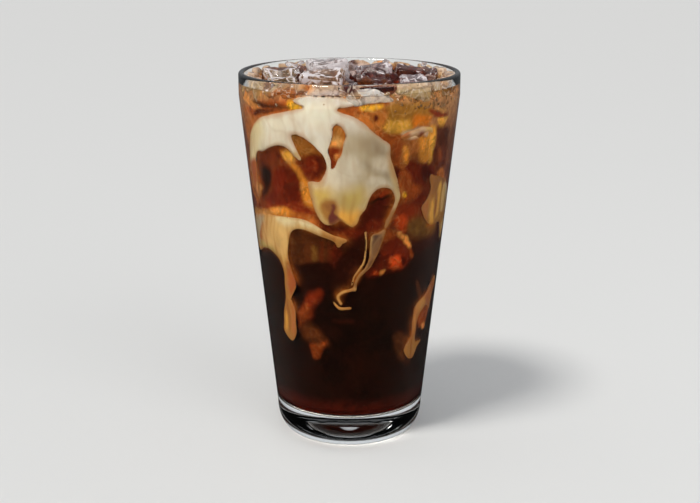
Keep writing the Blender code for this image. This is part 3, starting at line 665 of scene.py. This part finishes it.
def core_material():
    """The tones of what lies in the coffee, with grain, facets and pale and dark veins."""
    finish, tree, shader = new_material("coffee_core")
    grain = texture_noise(tree, 420, 5, (1, 1, 0.9), 0.8)
    swirl = texture_noise(tree, 110, 4, (1, 1, 0.8), 1.6)
    light = map_range(tree, math_node(tree, "ADD", grain, swirl), 0.75, 1.25, 0.80, 1.20)
    color = mix_color(tree, 1.0, paint(tree), light, "MULTIPLY")
    color = mix_color(tree, 1.0, color, map_range(tree, facets(tree), 0.2, 0.8, 0.72, 1.24), "MULTIPLY")
    lit = map_range(tree, grey(tree, paint(tree)), 0.02, 0.40, 0.0, 0.36)
    pale = math_node(tree, "MULTIPLY", veins(tree, 130, (1, 1, 0.9), 0.04), lit)
    color = mix_color(tree, pale, color, linear(246, 196, 124))
    dark = math_node(tree, "MULTIPLY", veins(tree, 90, (1, 1, 0.9), 0.06), 0.22)
    color = mix_color(tree, dark, color, linear(52, 20, 12))
    tree.links.new(color, shader.inputs["Base Color"])
    fill(shader, {"Roughness": 0.5, "Specular IOR Level": 0.08})
    bump(tree, shader, grain, 0.25, 0.3 * MM)
    return finish


def cream_material():
    """Cream with darker streaks, and a brown fringe that comes and goes along its edges."""
    finish, tree, shader = new_material("cream")
    mottle = texture_noise(tree, 70, 4, (1, 1, 0.6), 1.5)
    shade = map_range(tree, mottle, 0.4, 0.72, 0.0, 0.38)
    body = mix_color(tree, shade, paint(tree), linear(204, 176, 134), "MULTIPLY")
    streak = texture_noise(tree, 150, 3, (1, 1, 0.35), 0.8)
    streak = map_range(tree, streak, 0.52, 0.72, 0.0, 0.3)
    body = mix_color(tree, streak, body, linear(196, 160, 104), "MULTIPLY")
    thread = math_node(tree, "MULTIPLY", veins(tree, 75, (1, 1, 0.5), 0.03), 0.16)
    body = mix_color(tree, thread, body, linear(178, 146, 96))
    width = map_range(tree, texture_noise(tree, 55, 2), 0.38, 0.66, 0.25, 2.6)
    share = math_node(tree, "DIVIDE", attribute(tree, "edge"), width)
    fringe = math_node(tree, "SUBTRACT", 1.0, share, True)
    fringe = math_node(tree, "MULTIPLY", fringe, 0.6)
    edged = mix_color(tree, fringe, body, linear(186, 122, 52))
    tree.links.new(edged, shader.inputs["Base Color"])
    fill(shader, {"Roughness": 0.45, "Subsurface Weight": 0.15, "Subsurface Radius": (1.0, 0.6, 0.3),
                  "Subsurface Scale": 1.5 * MM})
    return finish


def ice_material(name, clearness, crackle):
    """Tinted ice: paint for its tint, frost for how white it is, crackle for fine pale cracks."""
    finish, tree, shader = new_material(name)
    flaw = texture_noise(tree, 230, 4, (1, 1, 1), 1.6)
    wanted = math_node(tree, "SUBTRACT", 0.82, math_node(tree, "MULTIPLY", attribute(tree, "frost"), 0.42))
    frost = map_range(tree, math_node(tree, "SUBTRACT", flaw, wanted), 0.0, 0.14)
    dark = math_node(tree, "MULTIPLY", veins(tree, 85, (1, 1, 1.8), 0.05), 0.55)
    light = map_range(tree, flaw, 0.35, 0.65, 0.78, 1.16)
    color = mix_color(tree, 1.0, paint(tree), light, "MULTIPLY")
    color = mix_color(tree, dark, color, linear(84, 40, 28))
    color = mix_color(tree, frost, color, linear(240, 232, 232))
    lines = math_node(tree, "MULTIPLY", veins(tree, 210, (1, 1, 0.8), 0.035), crackle)
    color = mix_color(tree, lines, color, linear(244, 226, 204))
    tree.links.new(color, shader.inputs["Base Color"])
    tree.links.new(map_range(tree, frost, 0, 1, clearness, 0.15), shader.inputs["Transmission Weight"])
    fill(shader, {"Roughness": 0.07, "IOR": 1.31})
    bump(tree, shader, flaw, 0.4, 0.5 * MM)
    return finish


def plain_material(name, color, roughness):
    finish, _, shader = new_material(name)
    fill(shader, {"Base Color": color, "Roughness": roughness})
    return finish


# Making of meshes


def add_object(name, mesh, finish):
    piece = bpy.data.objects.new(name, mesh)
    bpy.context.scene.collection.objects.link(piece)
    mesh.materials.append(finish)
    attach(piece, "root")
    return piece


def mesh_from(name, shape):
    mesh = bpy.data.meshes.new(name)
    shape.to_mesh(mesh)
    shape.free()
    return mesh


def smooth_mesh_from(name, shape):
    mesh = mesh_from(name, shape)
    mesh.shade_smooth()
    return mesh


def mesh_from_arrays(name, places, faces):
    mesh = bpy.data.meshes.new(name)
    mesh.from_pydata([tuple(place) for place in places], [], [tuple(face) for face in faces])
    mesh.update()
    mesh.shade_smooth()
    return mesh


def store(mesh, name, values):
    layer = mesh.attributes.new(name, "FLOAT", "POINT")
    layer.data.foreach_set("value", np.asarray(values, dtype=np.float32).ravel())


def store_color(mesh, colors):
    layer = mesh.attributes.new("paint", "FLOAT_COLOR", "POINT")
    values = np.column_stack([colors, np.ones(len(colors))])
    layer.data.foreach_set("color", values.astype(np.float32).ravel())


def turned(name, profile, steps=TURN_STEPS):
    """A profile of (r, z) points, from axis to axis, turned round Z."""
    shape = bmesh.new()
    ends = [shape.verts.new((0, 0, z)) for r, z in (profile[0], profile[-1])]
    angles = [math.tau * step / steps for step in range(steps)]
    rings = []
    for r, z in profile[1:-1]:
        rings.append([shape.verts.new((r * math.cos(a), r * math.sin(a), z)) for a in angles])
    for upper, lower in zip(rings, rings[1:]):
        for i in range(steps):
            j = (i + 1) % steps
            shape.faces.new((upper[i], lower[i], lower[j], upper[j]))
    for i in range(steps):
        j = (i + 1) % steps
        shape.faces.new((ends[0], rings[0][i], rings[0][j]))
        shape.faces.new((ends[1], rings[-1][j], rings[-1][i]))
    return smooth_mesh_from(name, shape)


def smooth_loop(points, steps=4):
    """Points in mm along a smooth closed curve through (degrees, mm) points."""
    knots = np.array([(math.radians(angle) * WRAP_RADIUS, height) for angle, height in points])
    before = np.roll(knots, 1, 0)
    after = np.roll(knots, -1, 0)
    chord = after - before
    reach = np.minimum(np.linalg.norm(after - knots, axis=1), np.linalg.norm(knots - before, axis=1))
    tangent = chord / np.maximum(np.linalg.norm(chord, axis=1), 1e-9)[:, None] * reach[:, None]
    far_tangent = np.roll(tangent, -1, 0)
    curve = []
    for step in range(steps):
        t = step / steps
        curve.append((2 * t**3 - 3 * t**2 + 1) * knots + (t**3 - 2 * t**2 + t) * tangent
                     + (3 * t**2 - 2 * t**3) * after + (t**3 - t**2) * far_tangent)
    return np.stack(curve, 1).reshape(-1, 2)


def distance_inside(points, loops, far=12.0):
    """Distance in mm from each point to the nearest outline, above 0 inside, and that nearest point."""
    starts = np.concatenate(loops)
    ends = np.concatenate([np.roll(loop, -1, 0) for loop in loops])
    distance = np.full(len(points), -far)
    nearest = points.copy()
    low, high = starts.min(0) - far, starts.max(0) + far
    close = np.flatnonzero(((points > low) & (points < high)).all(1))
    for part in np.array_split(close, max(1, len(close) * len(starts) // 4000000 + 1)):
        p = points[part][:, None, :]
        along = ends - starts
        share = ((p - starts) * along).sum(2) / np.maximum((along**2).sum(1), 1e-12)
        foot = starts + np.clip(share, 0, 1)[:, :, None] * along
        gaps = np.linalg.norm(p - foot, axis=2)
        best = gaps.argmin(1)
        rows = np.arange(len(part))
        crosses = (starts[:, 1] > p[:, :, 1]) != (ends[:, 1] > p[:, :, 1])
        with np.errstate(divide="ignore", invalid="ignore"):
            meet = starts[:, 0] + (p[:, :, 1] - starts[:, 1]) / (ends[:, 1] - starts[:, 1]) * along[:, 0]
        inside = (crosses & (p[:, :, 0] < meet)).sum(1) % 2 == 1
        distance[part] = np.where(inside, gaps[rows, best], -gaps[rows, best])
        nearest[part] = foot[rows, best]
    return distance, nearest


def on_wall(strip, depth):
    """Places in metres for strip points (mm) at a depth (mm) behind the inner wall."""
    angle = strip[:, 0] / WRAP_RADIUS
    radius = inner_radius(strip[:, 1] * MM) - depth * MM
    return np.stack([radius * np.sin(angle), -radius * np.cos(angle), strip[:, 1] * MM], 1)


def wave(points, size, seed):
    """Smooth noise from -1 to 1 over places in mm, about size mm from crest to crest."""
    offset = Vector((seed * 7.3, seed * 3.1, seed * 5.7))
    return np.array([noise.noise(Vector((x / size, y / size, 0)) + offset) for x, y in points])


def ragged(loop, seed):
    """A loop with a wavy edge, wavier at the back."""
    amount = RAGGED_BACK if loop[:, 0].min() > math.radians(90) * WRAP_RADIUS else RAGGED
    for size, share in ((5, 1.0), (2, 0.35)):
        loop = loop + amount * share * np.stack([wave(loop, size, seed), wave(loop, size, seed + 40)], 1)
    return loop


def crease(mesh, cells):
    """Sharp edges where the front of a pillow meets its back."""
    sides = np.sort(np.concatenate([cells[:, [i, (i + 1) % 4]] for i in range(4)]), 1)
    pairs, counts = np.unique(sides, axis=0, return_counts=True)
    border = {tuple(pair) for pair in pairs[counts == 1].tolist()}
    layer = mesh.attributes.new("sharp_edge", "BOOLEAN", "EDGE")
    layer.data.foreach_set("value", [tuple(sorted(edge.vertices)) in border for edge in mesh.edges])


def cream_cells(loops):
    """A grid over the inside of outlines, its rim pulled onto them.

    Gives the points in mm, their distance to the outline, which of them lie on it, and the cells.
    """
    low = loops[0].min(0) - 2 * CREAM_SPACING
    high = loops[0].max(0) + 2 * CREAM_SPACING
    xs = np.arange(low[0], high[0], CREAM_SPACING)
    ys = np.arange(low[1], high[1], CREAM_SPACING)
    grid = np.stack(np.meshgrid(xs, ys), 2).reshape(-1, 2)
    distance, nearest = distance_inside(grid, loops)
    index = np.arange(len(grid)).reshape(len(ys), len(xs))
    cells = np.stack([index[:-1, :-1], index[:-1, 1:], index[1:, 1:], index[1:, :-1]], 2).reshape(-1, 4)
    cells = cells[(distance[cells] > 0).sum(1) >= 2]
    border = distance < 0.3 * CREAM_SPACING
    grid[border] = nearest[border]
    edge = np.where(border, 0, distance)
    used = np.unique(cells)
    rank = np.zeros(len(grid), dtype=int)
    rank[used] = np.arange(len(used))
    return grid[used], edge[used], border[used], rank[cells]


def cream_mesh(name, outlines, thickness, edge_depth, edge_width, seed):
    """A pillow of cream inside smooth outlines, flat against the wall up to a crisp edge."""
    loops = [ragged(smooth_loop(outline, 8), seed) for outline in outlines]
    strip, edge, border, cells = cream_cells(loops)
    ripple = 0.12 * (1 + wave(strip, 6, seed)) * np.clip(edge / 2, 0, 1)
    front_depth = CREAM_FILM + edge_depth * np.exp(-edge / edge_width) + ripple
    back_depth = CREAM_FILM + edge_depth + thickness * (1 - np.exp(-edge / 2.2))
    inner = np.flatnonzero(~border)
    back_rank = np.arange(len(strip))
    back_rank[inner] = len(strip) + np.arange(len(inner))
    places = np.concatenate([on_wall(strip, front_depth), on_wall(strip[inner], back_depth[inner])])
    mesh = mesh_from_arrays(name, places, np.concatenate([cells, back_rank[cells][:, ::-1]]))
    crease(mesh, cells)
    store(mesh, "edge", np.concatenate([edge, edge[inner]]))
    color = painted(strip, layered(strip[:, 1], CREAM_LAYERS), all_round(CREAM_PATCHES))
    color = stranded(strip, color)
    store_color(mesh, np.concatenate([color, color[inner]]))
    return mesh, loops


def layered(heights, layers):
    """Linear colours for heights in mm, run between the layers' display colours."""
    places = [height for height, _ in layers]
    colors = np.array([linear(*color)[:3] for _, color in layers])
    return np.stack([np.interp(heights, places, colors[:, channel]) for channel in range(3)], 1)


def toward(color, tone, share):
    """Colours moved by a share, one for each point, towards a tone."""
    return color + (np.array(linear(*TONES[tone])[:3]) - color) * share[:, None]


def painted(strip, color, patches):
    """The colours with soft-edged patches laid over them, their edges bent by a fine wave."""
    bent = strip + 0.7 * np.stack([wave(strip, 4.5, 3), wave(strip, 4.5, 5)], 1)
    bent = bent + 0.4 * np.stack([wave(strip, 1.7, 9), wave(strip, 1.7, 12)], 1)
    for tone, softness, outline in patches:
        reach = SOFTNESS * softness
        distance, _ = distance_inside(bent, [smooth_loop(outline, 3)], 2 * reach + 1)
        cover = np.clip(0.5 + distance / (2 * reach), 0, 1)
        cover = cover * cover * (3 - 2 * cover)
        color = toward(color, tone, cover)
    return color


def stranded(strip, color):
    """The colours with tan strands that run down the cream, stronger low in the glass."""
    flow = strip + 2.2 * np.stack([wave(strip, 11, 31), wave(strip, 11, 32)], 1)
    strand = np.clip(2.4 * wave(flow * (1, 0.15), 1.6, 33), 0, 1)
    share = strand * np.interp(strip[:, 1], (36, 92, 104, 144), (0.8, 0.65, 0.25, 0.1))
    return color * (1 - share[:, None] * (1 - np.array(STRAND)))


def all_round(patches):
    """The patches, and the same ones half a turn round the glass."""
    turned_patches = [(tone, softness, [(angle + 180, height) for angle, height in outline])
                      for tone, softness, outline in patches]
    return patches + turned_patches


def softened(values, rounds):
    """Values on the core's grid, evened out with their neighbours."""
    grid = values.reshape(CORE_ROWS, CORE_COLUMNS)
    for _ in range(rounds):
        padded = np.pad(grid, ((1, 1), (0, 0)), "edge")
        grid = (grid * 2 + np.roll(grid, 1, 1) + np.roll(grid, -1, 1) + padded[:-2] + padded[2:]) / 6
    return grid.ravel()


def stain(strip, cream_loops):
    """How much the cream stains the coffee at each point, patchy and strongest at its outlines."""
    halo = np.zeros(len(strip))
    for loops in cream_loops:
        gap = -distance_inside(strip, loops, 5.0)[0]
        halo = np.maximum(halo, np.exp(-np.clip(gap, 0, None) / HALO_WIDTH))
    return halo * np.clip(0.35 + 1.3 * wave(strip, 7, 15), 0, 0.85)


def core_depth(strip, color):
    """Near the wall where the core is bright, deep where it is dark, and round at floor and surface."""
    brightness = (color @ np.array([0.3, 0.6, 0.1])) ** 0.45
    depth = slanted(CORE_FAR, CORE_NEAR, np.clip(brightness * 2.2 - 0.15, 0, 1) ** 0.8)
    depth = softened(depth, 40)
    reach = FLOOR_FILLET / MM
    above_floor = np.clip((FLOOR_TOP + FLOOR_FILLET) / MM - strip[:, 1], 0, None)
    depth = depth + reach - np.sqrt(np.clip(reach**2 - above_floor**2, 0, None))
    return depth + 1.4 * np.clip((strip[:, 1] - CORE_TOP + 2) / 2, 0, 1) ** 2


def core_mesh(cream_loops):
    """The dark heart of the drink, closed by a flat floor and a flat top."""
    columns = -90 + 360 * np.arange(CORE_COLUMNS) / CORE_COLUMNS
    rows = np.linspace(FLOOR_TOP / MM + 0.6, CORE_TOP, CORE_ROWS)
    xs, ys = np.meshgrid(np.radians(columns) * WRAP_RADIUS, rows)
    strip = np.stack([xs, ys], 2).reshape(-1, 2)
    color = painted(strip, layered(strip[:, 1], CORE_LAYERS), all_round(CORE_PATCHES))
    color = toward(color, "umber", stain(strip, cream_loops))
    places = on_wall(strip, core_depth(strip, color))
    index = np.arange(len(strip)).reshape(CORE_ROWS, CORE_COLUMNS)
    right = np.roll(index, -1, 1)
    quads = np.stack([index[:-1], right[:-1], right[1:], index[1:]], 2).reshape(-1, 4)
    ring = places[index[-1]] * (0.86, 0.86, 1)
    ring_index = len(places) + np.arange(CORE_COLUMNS)
    brim = np.stack([index[-1], right[-1], np.roll(ring_index, -1), ring_index], 1)
    foot, head = len(places) + CORE_COLUMNS, len(places) + CORE_COLUMNS + 1
    caps = [(foot, int(b), int(a)) for a, b in zip(index[0], right[0])]
    caps += [(head, int(a), int(b)) for a, b in zip(ring_index, np.roll(ring_index, -1))]
    ends = np.array([(0, 0, rows[0] * MM), (0, 0, (CORE_TOP + 0.2) * MM)])
    faces = [tuple(quad) for quad in np.concatenate([quads, brim]).tolist()] + caps
    mesh = mesh_from_arrays("coffee_core", np.concatenate([places, ring, ends]), faces)
    surface = np.tile(linear(112, 58, 32)[:3], (CORE_COLUMNS, 1))
    middle = np.array([linear(70, 24, 12)[:3], linear(74, 34, 20)[:3]])
    store_color(mesh, np.concatenate([color, surface, middle]))
    return mesh


def glass_profile():
    lip = RIM_WALL / 2
    low = FLOOR_TOP + FLOOR_FILLET
    floor_radius = float(inner_radius(low)) - FLOOR_FILLET
    inside = [(0, FLOOR_TOP), (floor_radius * 0.5, FLOOR_TOP)]
    inside += arc((floor_radius, low), (FLOOR_FILLET, FLOOR_FILLET), -90, 0, 8)
    inside += [(float(inner_radius(height)), height) for height in spaced(low, SHOULDER, WALL_STEPS)[1:]]
    rim = arc((RIM_RADIUS - lip, GLASS_HEIGHT - lip), (lip, lip), 180, 0, 12)
    outside = [(outer_radius(height), height) for height in spaced(SHOULDER, HEEL_HEIGHT, WALL_STEPS)[:-1]]
    heel_radius = outer_radius(HEEL_HEIGHT)
    heel = arc((heel_radius - HEEL_WIDTH, HEEL_HEIGHT), (HEEL_WIDTH, HEEL_HEIGHT), 0, -90, 14)
    under = [(heel_radius * 0.4, 0), (0, 0)]
    return inside + rim + outside + heel + under


def coffee_profile():
    grow = INTO_GLASS * MM
    wall = float(inner_radius(LEVEL)) + grow
    low = FLOOR_TOP + FLOOR_FILLET
    surface = [(0, LEVEL), (wall - 4 * MM, LEVEL), (wall - 2 * MM, LEVEL + 0.12 * MM),
               (wall - 1 * MM, LEVEL + 0.42 * MM), (wall - 0.4 * MM, LEVEL + 0.85 * MM),
               (wall - 0.1 * MM, LEVEL + 1.25 * MM), (wall, LEVEL + 1.3 * MM)]
    side = [(float(inner_radius(height)) + grow, height)
            for height in spaced(SHOULDER, low, WALL_STEPS)[:-1]]
    radius = float(inner_radius(low)) - FLOOR_FILLET
    fillet = arc((radius, low), (FLOOR_FILLET + grow, FLOOR_FILLET + grow), 0, -90, 8)
    return surface + side + fillet + [(0, FLOOR_TOP - grow)]


def ice_from(node, seed, amount):
    """A finer block over a CAD block of ice: waves, chips and worn edges, and how sharp each point is."""
    block = bmesh.new()
    block.from_mesh(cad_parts[node].data)
    bmesh.ops.remove_doubles(block, verts=block.verts, dist=0.01 * MM)
    for _ in range(3):
        bmesh.ops.subdivide_edges(block, edges=block.edges, cuts=1, use_grid_fill=True)
    for _ in range(3):
        bmesh.ops.smooth_vert(block, verts=block.verts, factor=0.5)
    block.normal_update()
    offset = Vector((seed * 1.7, seed * 2.9, seed * 0.6))
    moves = []
    sharpness = []
    for vert in block.verts:
        broad = noise.noise(vert.co * 110 + offset)
        chips = abs(noise.noise(vert.co * 260 + offset * 2))
        moves.append(vert.normal * (broad * 1.1 - chips * 0.9) * amount * MM)
        around = [edge.other_vert(vert).co for edge in vert.link_edges]
        bulge = (vert.co - sum(around, Vector()) / len(around)).dot(vert.normal)
        sharpness.append(bulge / MM)
    for vert, move in zip(block.verts, moves):
        vert.co += move
        vert.co.z = min(vert.co.z, cad_box[1][2] - 0.05 * MM)
    return smooth_mesh_from(node, block), np.clip(np.array(sharpness) / 0.06, 0, 1)


def moved_to(reach, turn, height):
    """The move to a distance from the axis, a turn from the front and a height."""
    return Matrix.Translation((reach * math.sin(turn), -reach * math.cos(turn), height))


def shard(size, chance):
    """A small angular piece of ice as vertices and faces: the hull of a few random points."""
    piece = bmesh.new()
    for _ in range(14):
        direction = Vector((chance.gauss(0, 1), chance.gauss(0, 1), chance.gauss(0, 1))).normalized()
        piece.verts.new((direction.x * size[0], direction.y * size[1], direction.z * size[2]))
    result = bmesh.ops.convex_hull(piece, input=piece.verts)
    loose = [item for item in result["geom_interior"] if isinstance(item, bmesh.types.BMVert)]
    bmesh.ops.delete(piece, geom=loose, context="VERTS")
    return piece


def lump(size, chance):
    """A broken piece of ice with evenly fine faces and softened edges."""
    piece = shard(size, chance)
    bmesh.ops.triangulate(piece, faces=piece.faces)
    bmesh.ops.subdivide_edges(piece, edges=piece.edges, cuts=3, use_grid_fill=True)
    bmesh.ops.smooth_vert(piece, verts=piece.verts, factor=0.5)
    return piece


def join_part(joined, piece):
    part = bpy.data.meshes.new("part")
    piece.to_mesh(part)
    piece.free()
    joined.from_mesh(part)
    bpy.data.meshes.remove(part)


def chips_mesh(name, chance):
    """Small chips of ice at the surface, between the blocks and along the wall."""
    joined = bmesh.new()
    for number in range(CHIPS):
        angle = chance.uniform(BARE[1], 360)
        radius = (39.0 if number % 2 else 37.0) - 3.5 * chance.random() ** 2 * (1 if number % 2 else 9)
        size = [chance.uniform(1.2, 3.4) * MM for _ in range(3)]
        if SMALL_CHIPS[0] < angle < SMALL_CHIPS[1]:
            size = [value * 0.5 for value in size]
        height = LEVEL + chance.uniform(-1.8, 1.6) * MM
        piece = shard(size, chance)
        spin = Euler([chance.uniform(0, math.tau) for _ in range(3)]).to_matrix().to_4x4()
        turn = math.radians(angle)
        reach = min(radius * MM, float(inner_radius(height)) - max(size) - 0.2 * MM)
        piece.transform(moved_to(reach, turn, height) @ spin)
        join_part(joined, piece)
    bmesh.ops.triangulate(joined, faces=joined.faces)
    return mesh_from(name, joined)


def froth_mesh(name, chance):
    """Bubbles along the wall at the surface, most of them at the front right."""
    joined = bmesh.new()
    for number in range(BUBBLES):
        angle = chance.gauss(50, 16) if number % 4 else chance.uniform(0, 360)
        size = chance.choice((0.35, 0.45, 0.6, 0.8)) * MM
        height = chance.triangular(137.5, 147.5, 145) * MM
        reach = float(inner_radius(height)) - size - chance.uniform(0.0, 0.9) * MM
        place = moved_to(reach, math.radians(angle), height)
        bmesh.ops.create_icosphere(joined, subdivisions=2, radius=size, matrix=place)
    return smooth_mesh_from(name, joined)


# The object


def dress_wet_wall(mesh, finish, is_wet):
    """A second finish for the faces where glass and drink touch."""
    mesh.materials.append(finish)
    for face in mesh.polygons:
        if is_wet(face.center, face.normal):
            face.material_index = 1


def add_glass():
    mesh = turned("glass_body", glass_profile())
    glass = add_object("glass_body", mesh, glass_material("clear_glass", 1))
    dress_wet_wall(mesh, glass_material("wet_glass", WET_GLEAM), lambda centre, normal: (
        FLOOR_TOP + 2 * MM < centre.z < LEVEL + 1.3 * MM and normal.x * centre.x + normal.y * centre.y <= 0
        and math.hypot(centre.x, centre.y) < float(inner_radius(max(centre.z, FLOOR_TOP))) + MM))
    glass.visible_shadow = False
    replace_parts(glass, "glass")


def add_coffee():
    mesh = turned("coffee_body", coffee_profile())
    body = add_object("coffee_body", mesh, coffee_material("coffee_top", 1))
    dress_wet_wall(mesh, coffee_material("coffee_side", WET_GLEAM), lambda centre, normal: (
        centre.z > FLOOR_TOP + 2 * MM and (normal.z < 0.1 or centre.z > LEVEL + 0.05 * MM)))
    body.visible_shadow = False
    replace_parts(body, "coffee")


def add_cream_and_core():
    finish = cream_material()
    all_loops = []
    for seed, (name, (outlines, thickness, depth, width, nodes)) in enumerate(CREAM.items()):
        mesh, loops = cream_mesh("poured_" + name, outlines, thickness, depth, width, seed)
        if thickness > 1.2:
            all_loops.append(loops)
        piece = add_object("poured_" + name, mesh, finish)
        if nodes:
            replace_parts(piece, *nodes)
    core = add_object("coffee_core", core_mesh(all_loops), core_material())


def rim_ice_mesh(name, chance):
    """A ring of broken ice pressed against the glass from below the surface of the drink to the rim."""
    joined = bmesh.new()
    for number in range(RIM_PIECES):
        angle = 360 * number / RIM_PIECES + chance.uniform(-3, 3)
        if BARE[0] < angle < BARE[1]:
            continue
        over_cream = any(abs((angle - middle + 180) % 360 - 180) < half for middle, half in CREAM_TOPS)
        tall = chance.uniform(2.2, 2.8) if over_cream else chance.uniform(3.6, 4.8)
        size = (chance.uniform(4.2, 6.2) * MM, chance.uniform(2.6, 3.8) * MM, tall * MM)
        piece = lump(size, chance)
        turn = math.radians(angle)
        reach = float(inner_radius(LEVEL)) - size[1] * chance.uniform(0.4, 0.7)
        height = RIM_ICE_TOP - size[2] * chance.uniform(0.75, 1.0)
        tilt = Euler((chance.uniform(-0.2, 0.2), chance.uniform(-0.5, 0.5), turn)).to_matrix().to_4x4()
        piece.transform(moved_to(reach, turn, height) @ tilt)
        for vert in piece.verts:
            vert.co.z = min(vert.co.z, RIM_ICE_TOP)
            across = math.hypot(vert.co.x, vert.co.y)
            share = min(1, (float(inner_radius(vert.co.z)) - CREAM_FILM * MM) / across)
            vert.co.x *= share
            vert.co.y *= share
        join_part(joined, piece)
    return smooth_mesh_from(name, joined)


def top_ice_mesh(name, chance):
    """Broken ice between the larger blocks, and the tone of each of its points."""
    joined = bmesh.new()
    tones = []
    for _ in range(TOP_PIECES):
        size = [chance.uniform(2.2, 5.0) * MM, chance.uniform(2.2, 4.2) * MM, chance.uniform(1.4, 3.0) * MM]
        piece = lump(size, chance)
        turn = chance.uniform(0, math.tau)
        reach = 35 * MM * math.sqrt(chance.random())
        height = LEVEL + chance.uniform(0.0, 4.6) * MM
        spin = Euler([chance.uniform(-0.6, 0.6), chance.uniform(-0.6, 0.6), chance.uniform(0, math.tau)])
        piece.transform(moved_to(reach, turn, height) @ spin.to_matrix().to_4x4())
        tones += [chance.choice(TOP_TONES)] * len(piece.verts)
        join_part(joined, piece)
    for x, y, z, size in WHITE_CHIPS:
        piece = lump((size * MM, size * 0.8 * MM, size * 0.7 * MM), chance)
        piece.transform(Matrix.Translation((x * MM, y * MM, z * MM)))
        tones += ["frost"] * len(piece.verts)
        join_part(joined, piece)
    return smooth_mesh_from(name, joined), tones


def wall_strip(mesh):
    """Strip places in mm for all points of a mesh, by their angle and height."""
    places = np.array([vert.co[:] for vert in mesh.vertices])
    angles = np.degrees(np.arctan2(places[:, 0], -places[:, 1]))
    angles = np.where(angles < -90, angles + 360, angles)
    return np.stack([np.radians(angles) * WRAP_RADIUS, places[:, 2] / MM], 1)


def tint(mesh, tones, frost, fade=BROWN_AND_SHADE_FADE):
    """One tone for all points or one for each; below the fade they darken to brown: the drink seen in them,
    and painted shade in the crevices at the surface.
    """
    places = np.array([vert.co[:] for vert in mesh.vertices]) / MM
    own = np.array([linear(*TONES[tone])[:3] for tone in tones])
    own = own if len(own) == len(places) else np.tile(own, (len(places), 1))
    brown_and_shade = np.zeros(len(places))
    if fade:
        # Darker near the surface: the coffee's brown, and painted shade in the crevices
        brown_and_shade = np.clip(1 - (places[:, 2] - LEVEL / MM) / fade, 0, 1)
        brown_and_shade = np.clip(brown_and_shade + 0.5 * wave(places[:, :2] + places[:, 2:], 3, 6), 0, 0.9)
    store_color(mesh, toward(own, "cocoa", brown_and_shade))
    store(mesh, "frost", np.broadcast_to(frost, len(places)) * (1 - brown_and_shade))


def ice_object(name, mesh, finish):
    piece = add_object(name, mesh, finish)
    piece.visible_shadow = False
    return piece


def add_ice():
    clear = ice_material("clear_ice", 0.8, 0)
    broken = ice_material("broken_ice", 0.35, 0.8)
    for number, (node, (tone, frost)) in enumerate(ICE_TINTS.items()):
        mesh, sharpness = ice_from(node, number, 1.5)
        # Sharp edges are whiter: frost, and a painted highlight
        tint(mesh, [tone], frost + EDGE_FROST_AND_HIGHLIGHT * sharpness)
        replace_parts(ice_object("floating_" + node, mesh, clear), node)
    chance = random.Random(5)
    rim = rim_ice_mesh("rim_ice", chance)
    strip = wall_strip(rim)
    color = painted(strip, layered(strip[:, 1], RIM_LAYERS), all_round(RIM_PATCHES))
    store_color(rim, color)
    store(rim, "frost", 0.25 + 0.35 * np.clip(wave(strip, 5, 2), 0, 1))
    ice_object("rim_ice", rim, broken)
    dome, _ = cream_mesh("ice_dome", [DOME], 3.5, 0.5, 0.6, 21)
    tint(dome, ["blush"], 0.3, None)
    ice_object("ice_dome", dome, broken)
    top, tones = top_ice_mesh("top_ice", chance)
    tint(top, tones, 0.45)
    ice_object("top_ice", top, clear)
    chips = chips_mesh("ice_chips", chance)
    tint(chips, ["apricot"], 0.7, None)
    ice_object("ice_chips", chips, clear)
    froth = froth_mesh("froth", chance)
    tint(froth, ["sand"], 0.5, None)
    ice_object("froth", froth, clear)


# The stage


def lamp(kind, name, place, target, power, size, color):
    data = bpy.data.lights.new(name, kind)
    data.energy = power
    data.color = color
    if kind == "SUN":
        data.angle = size
    else:
        data.shape = "DISK"
        data.size = size
    light = bpy.data.objects.new(name, data)
    bpy.context.scene.collection.objects.link(light)
    light.location = place
    light.rotation_euler = (Vector(target) - Vector(place)).to_track_quat("-Z", "Y").to_euler()


def add_floor():
    ground = bmesh.new()
    bmesh.ops.create_circle(ground, cap_ends=True, segments=64, radius=12)
    mesh = mesh_from("floor", ground)
    floor = bpy.data.objects.new("floor", mesh)
    floor.location.z = -0.1 * MM
    bpy.context.scene.collection.objects.link(floor)
    mesh.materials.append(plain_material("pale_floor", linear(222, 222, 220), 1.0))
    floor.visible_glossy = False


def add_world():
    """Even pale surroundings for the camera and through glass, and light from above for the rest."""
    world = bpy.data.worlds.new("studio")
    bpy.context.scene.world = world
    world.use_nodes = True
    tree = world.node_tree
    background = tree.nodes["Background"]
    fill(background, {"Color": (0.94, 0.96, 1, 1)})
    rays = add_node(tree, "LightPath")
    seen = math_node(tree, "MAXIMUM", rays.outputs["Is Camera Ray"], rays.outputs["Is Transmission Ray"])
    split = add_node(tree, "SeparateXYZ")
    tree.links.new(add_node(tree, "TexCoord").outputs["Generated"], split.inputs["Vector"])
    above = map_range(tree, split.outputs["Z"], -0.30, 0.6, 0.02, 0.55)
    strength = math_node(tree, "MAXIMUM", above, math_node(tree, "MULTIPLY", seen, 0.75))
    tree.links.new(strength, background.inputs["Strength"])


def add_lamps():
    middle = (0, 0, 80 * MM)
    lamp("SUN", "key", (-0.36, -0.34, 0.93), middle, 1.7, math.radians(14), (1, 0.98, 0.95))
    lamp("AREA", "fill", (0.6, -0.7, 0.6), middle, 2.0, 0.7, (0.96, 0.98, 1))


def add_camera():
    lens = bpy.data.cameras.new("view")
    lens.lens = LENS
    lens.sensor_width = 36
    camera = bpy.data.objects.new("view", lens)
    bpy.context.scene.collection.objects.link(camera)
    camera.location = CAMERA_PLACE
    camera.rotation_euler = (math.radians(90 - CAMERA_DIP), 0, 0)
    bpy.context.scene.camera = camera


bpy.context.scene.view_settings.view_transform = "Standard"
add_camera()
add_glass()
add_coffee()
add_cream_and_core()
add_ice()
add_floor()
add_world()
add_lamps()
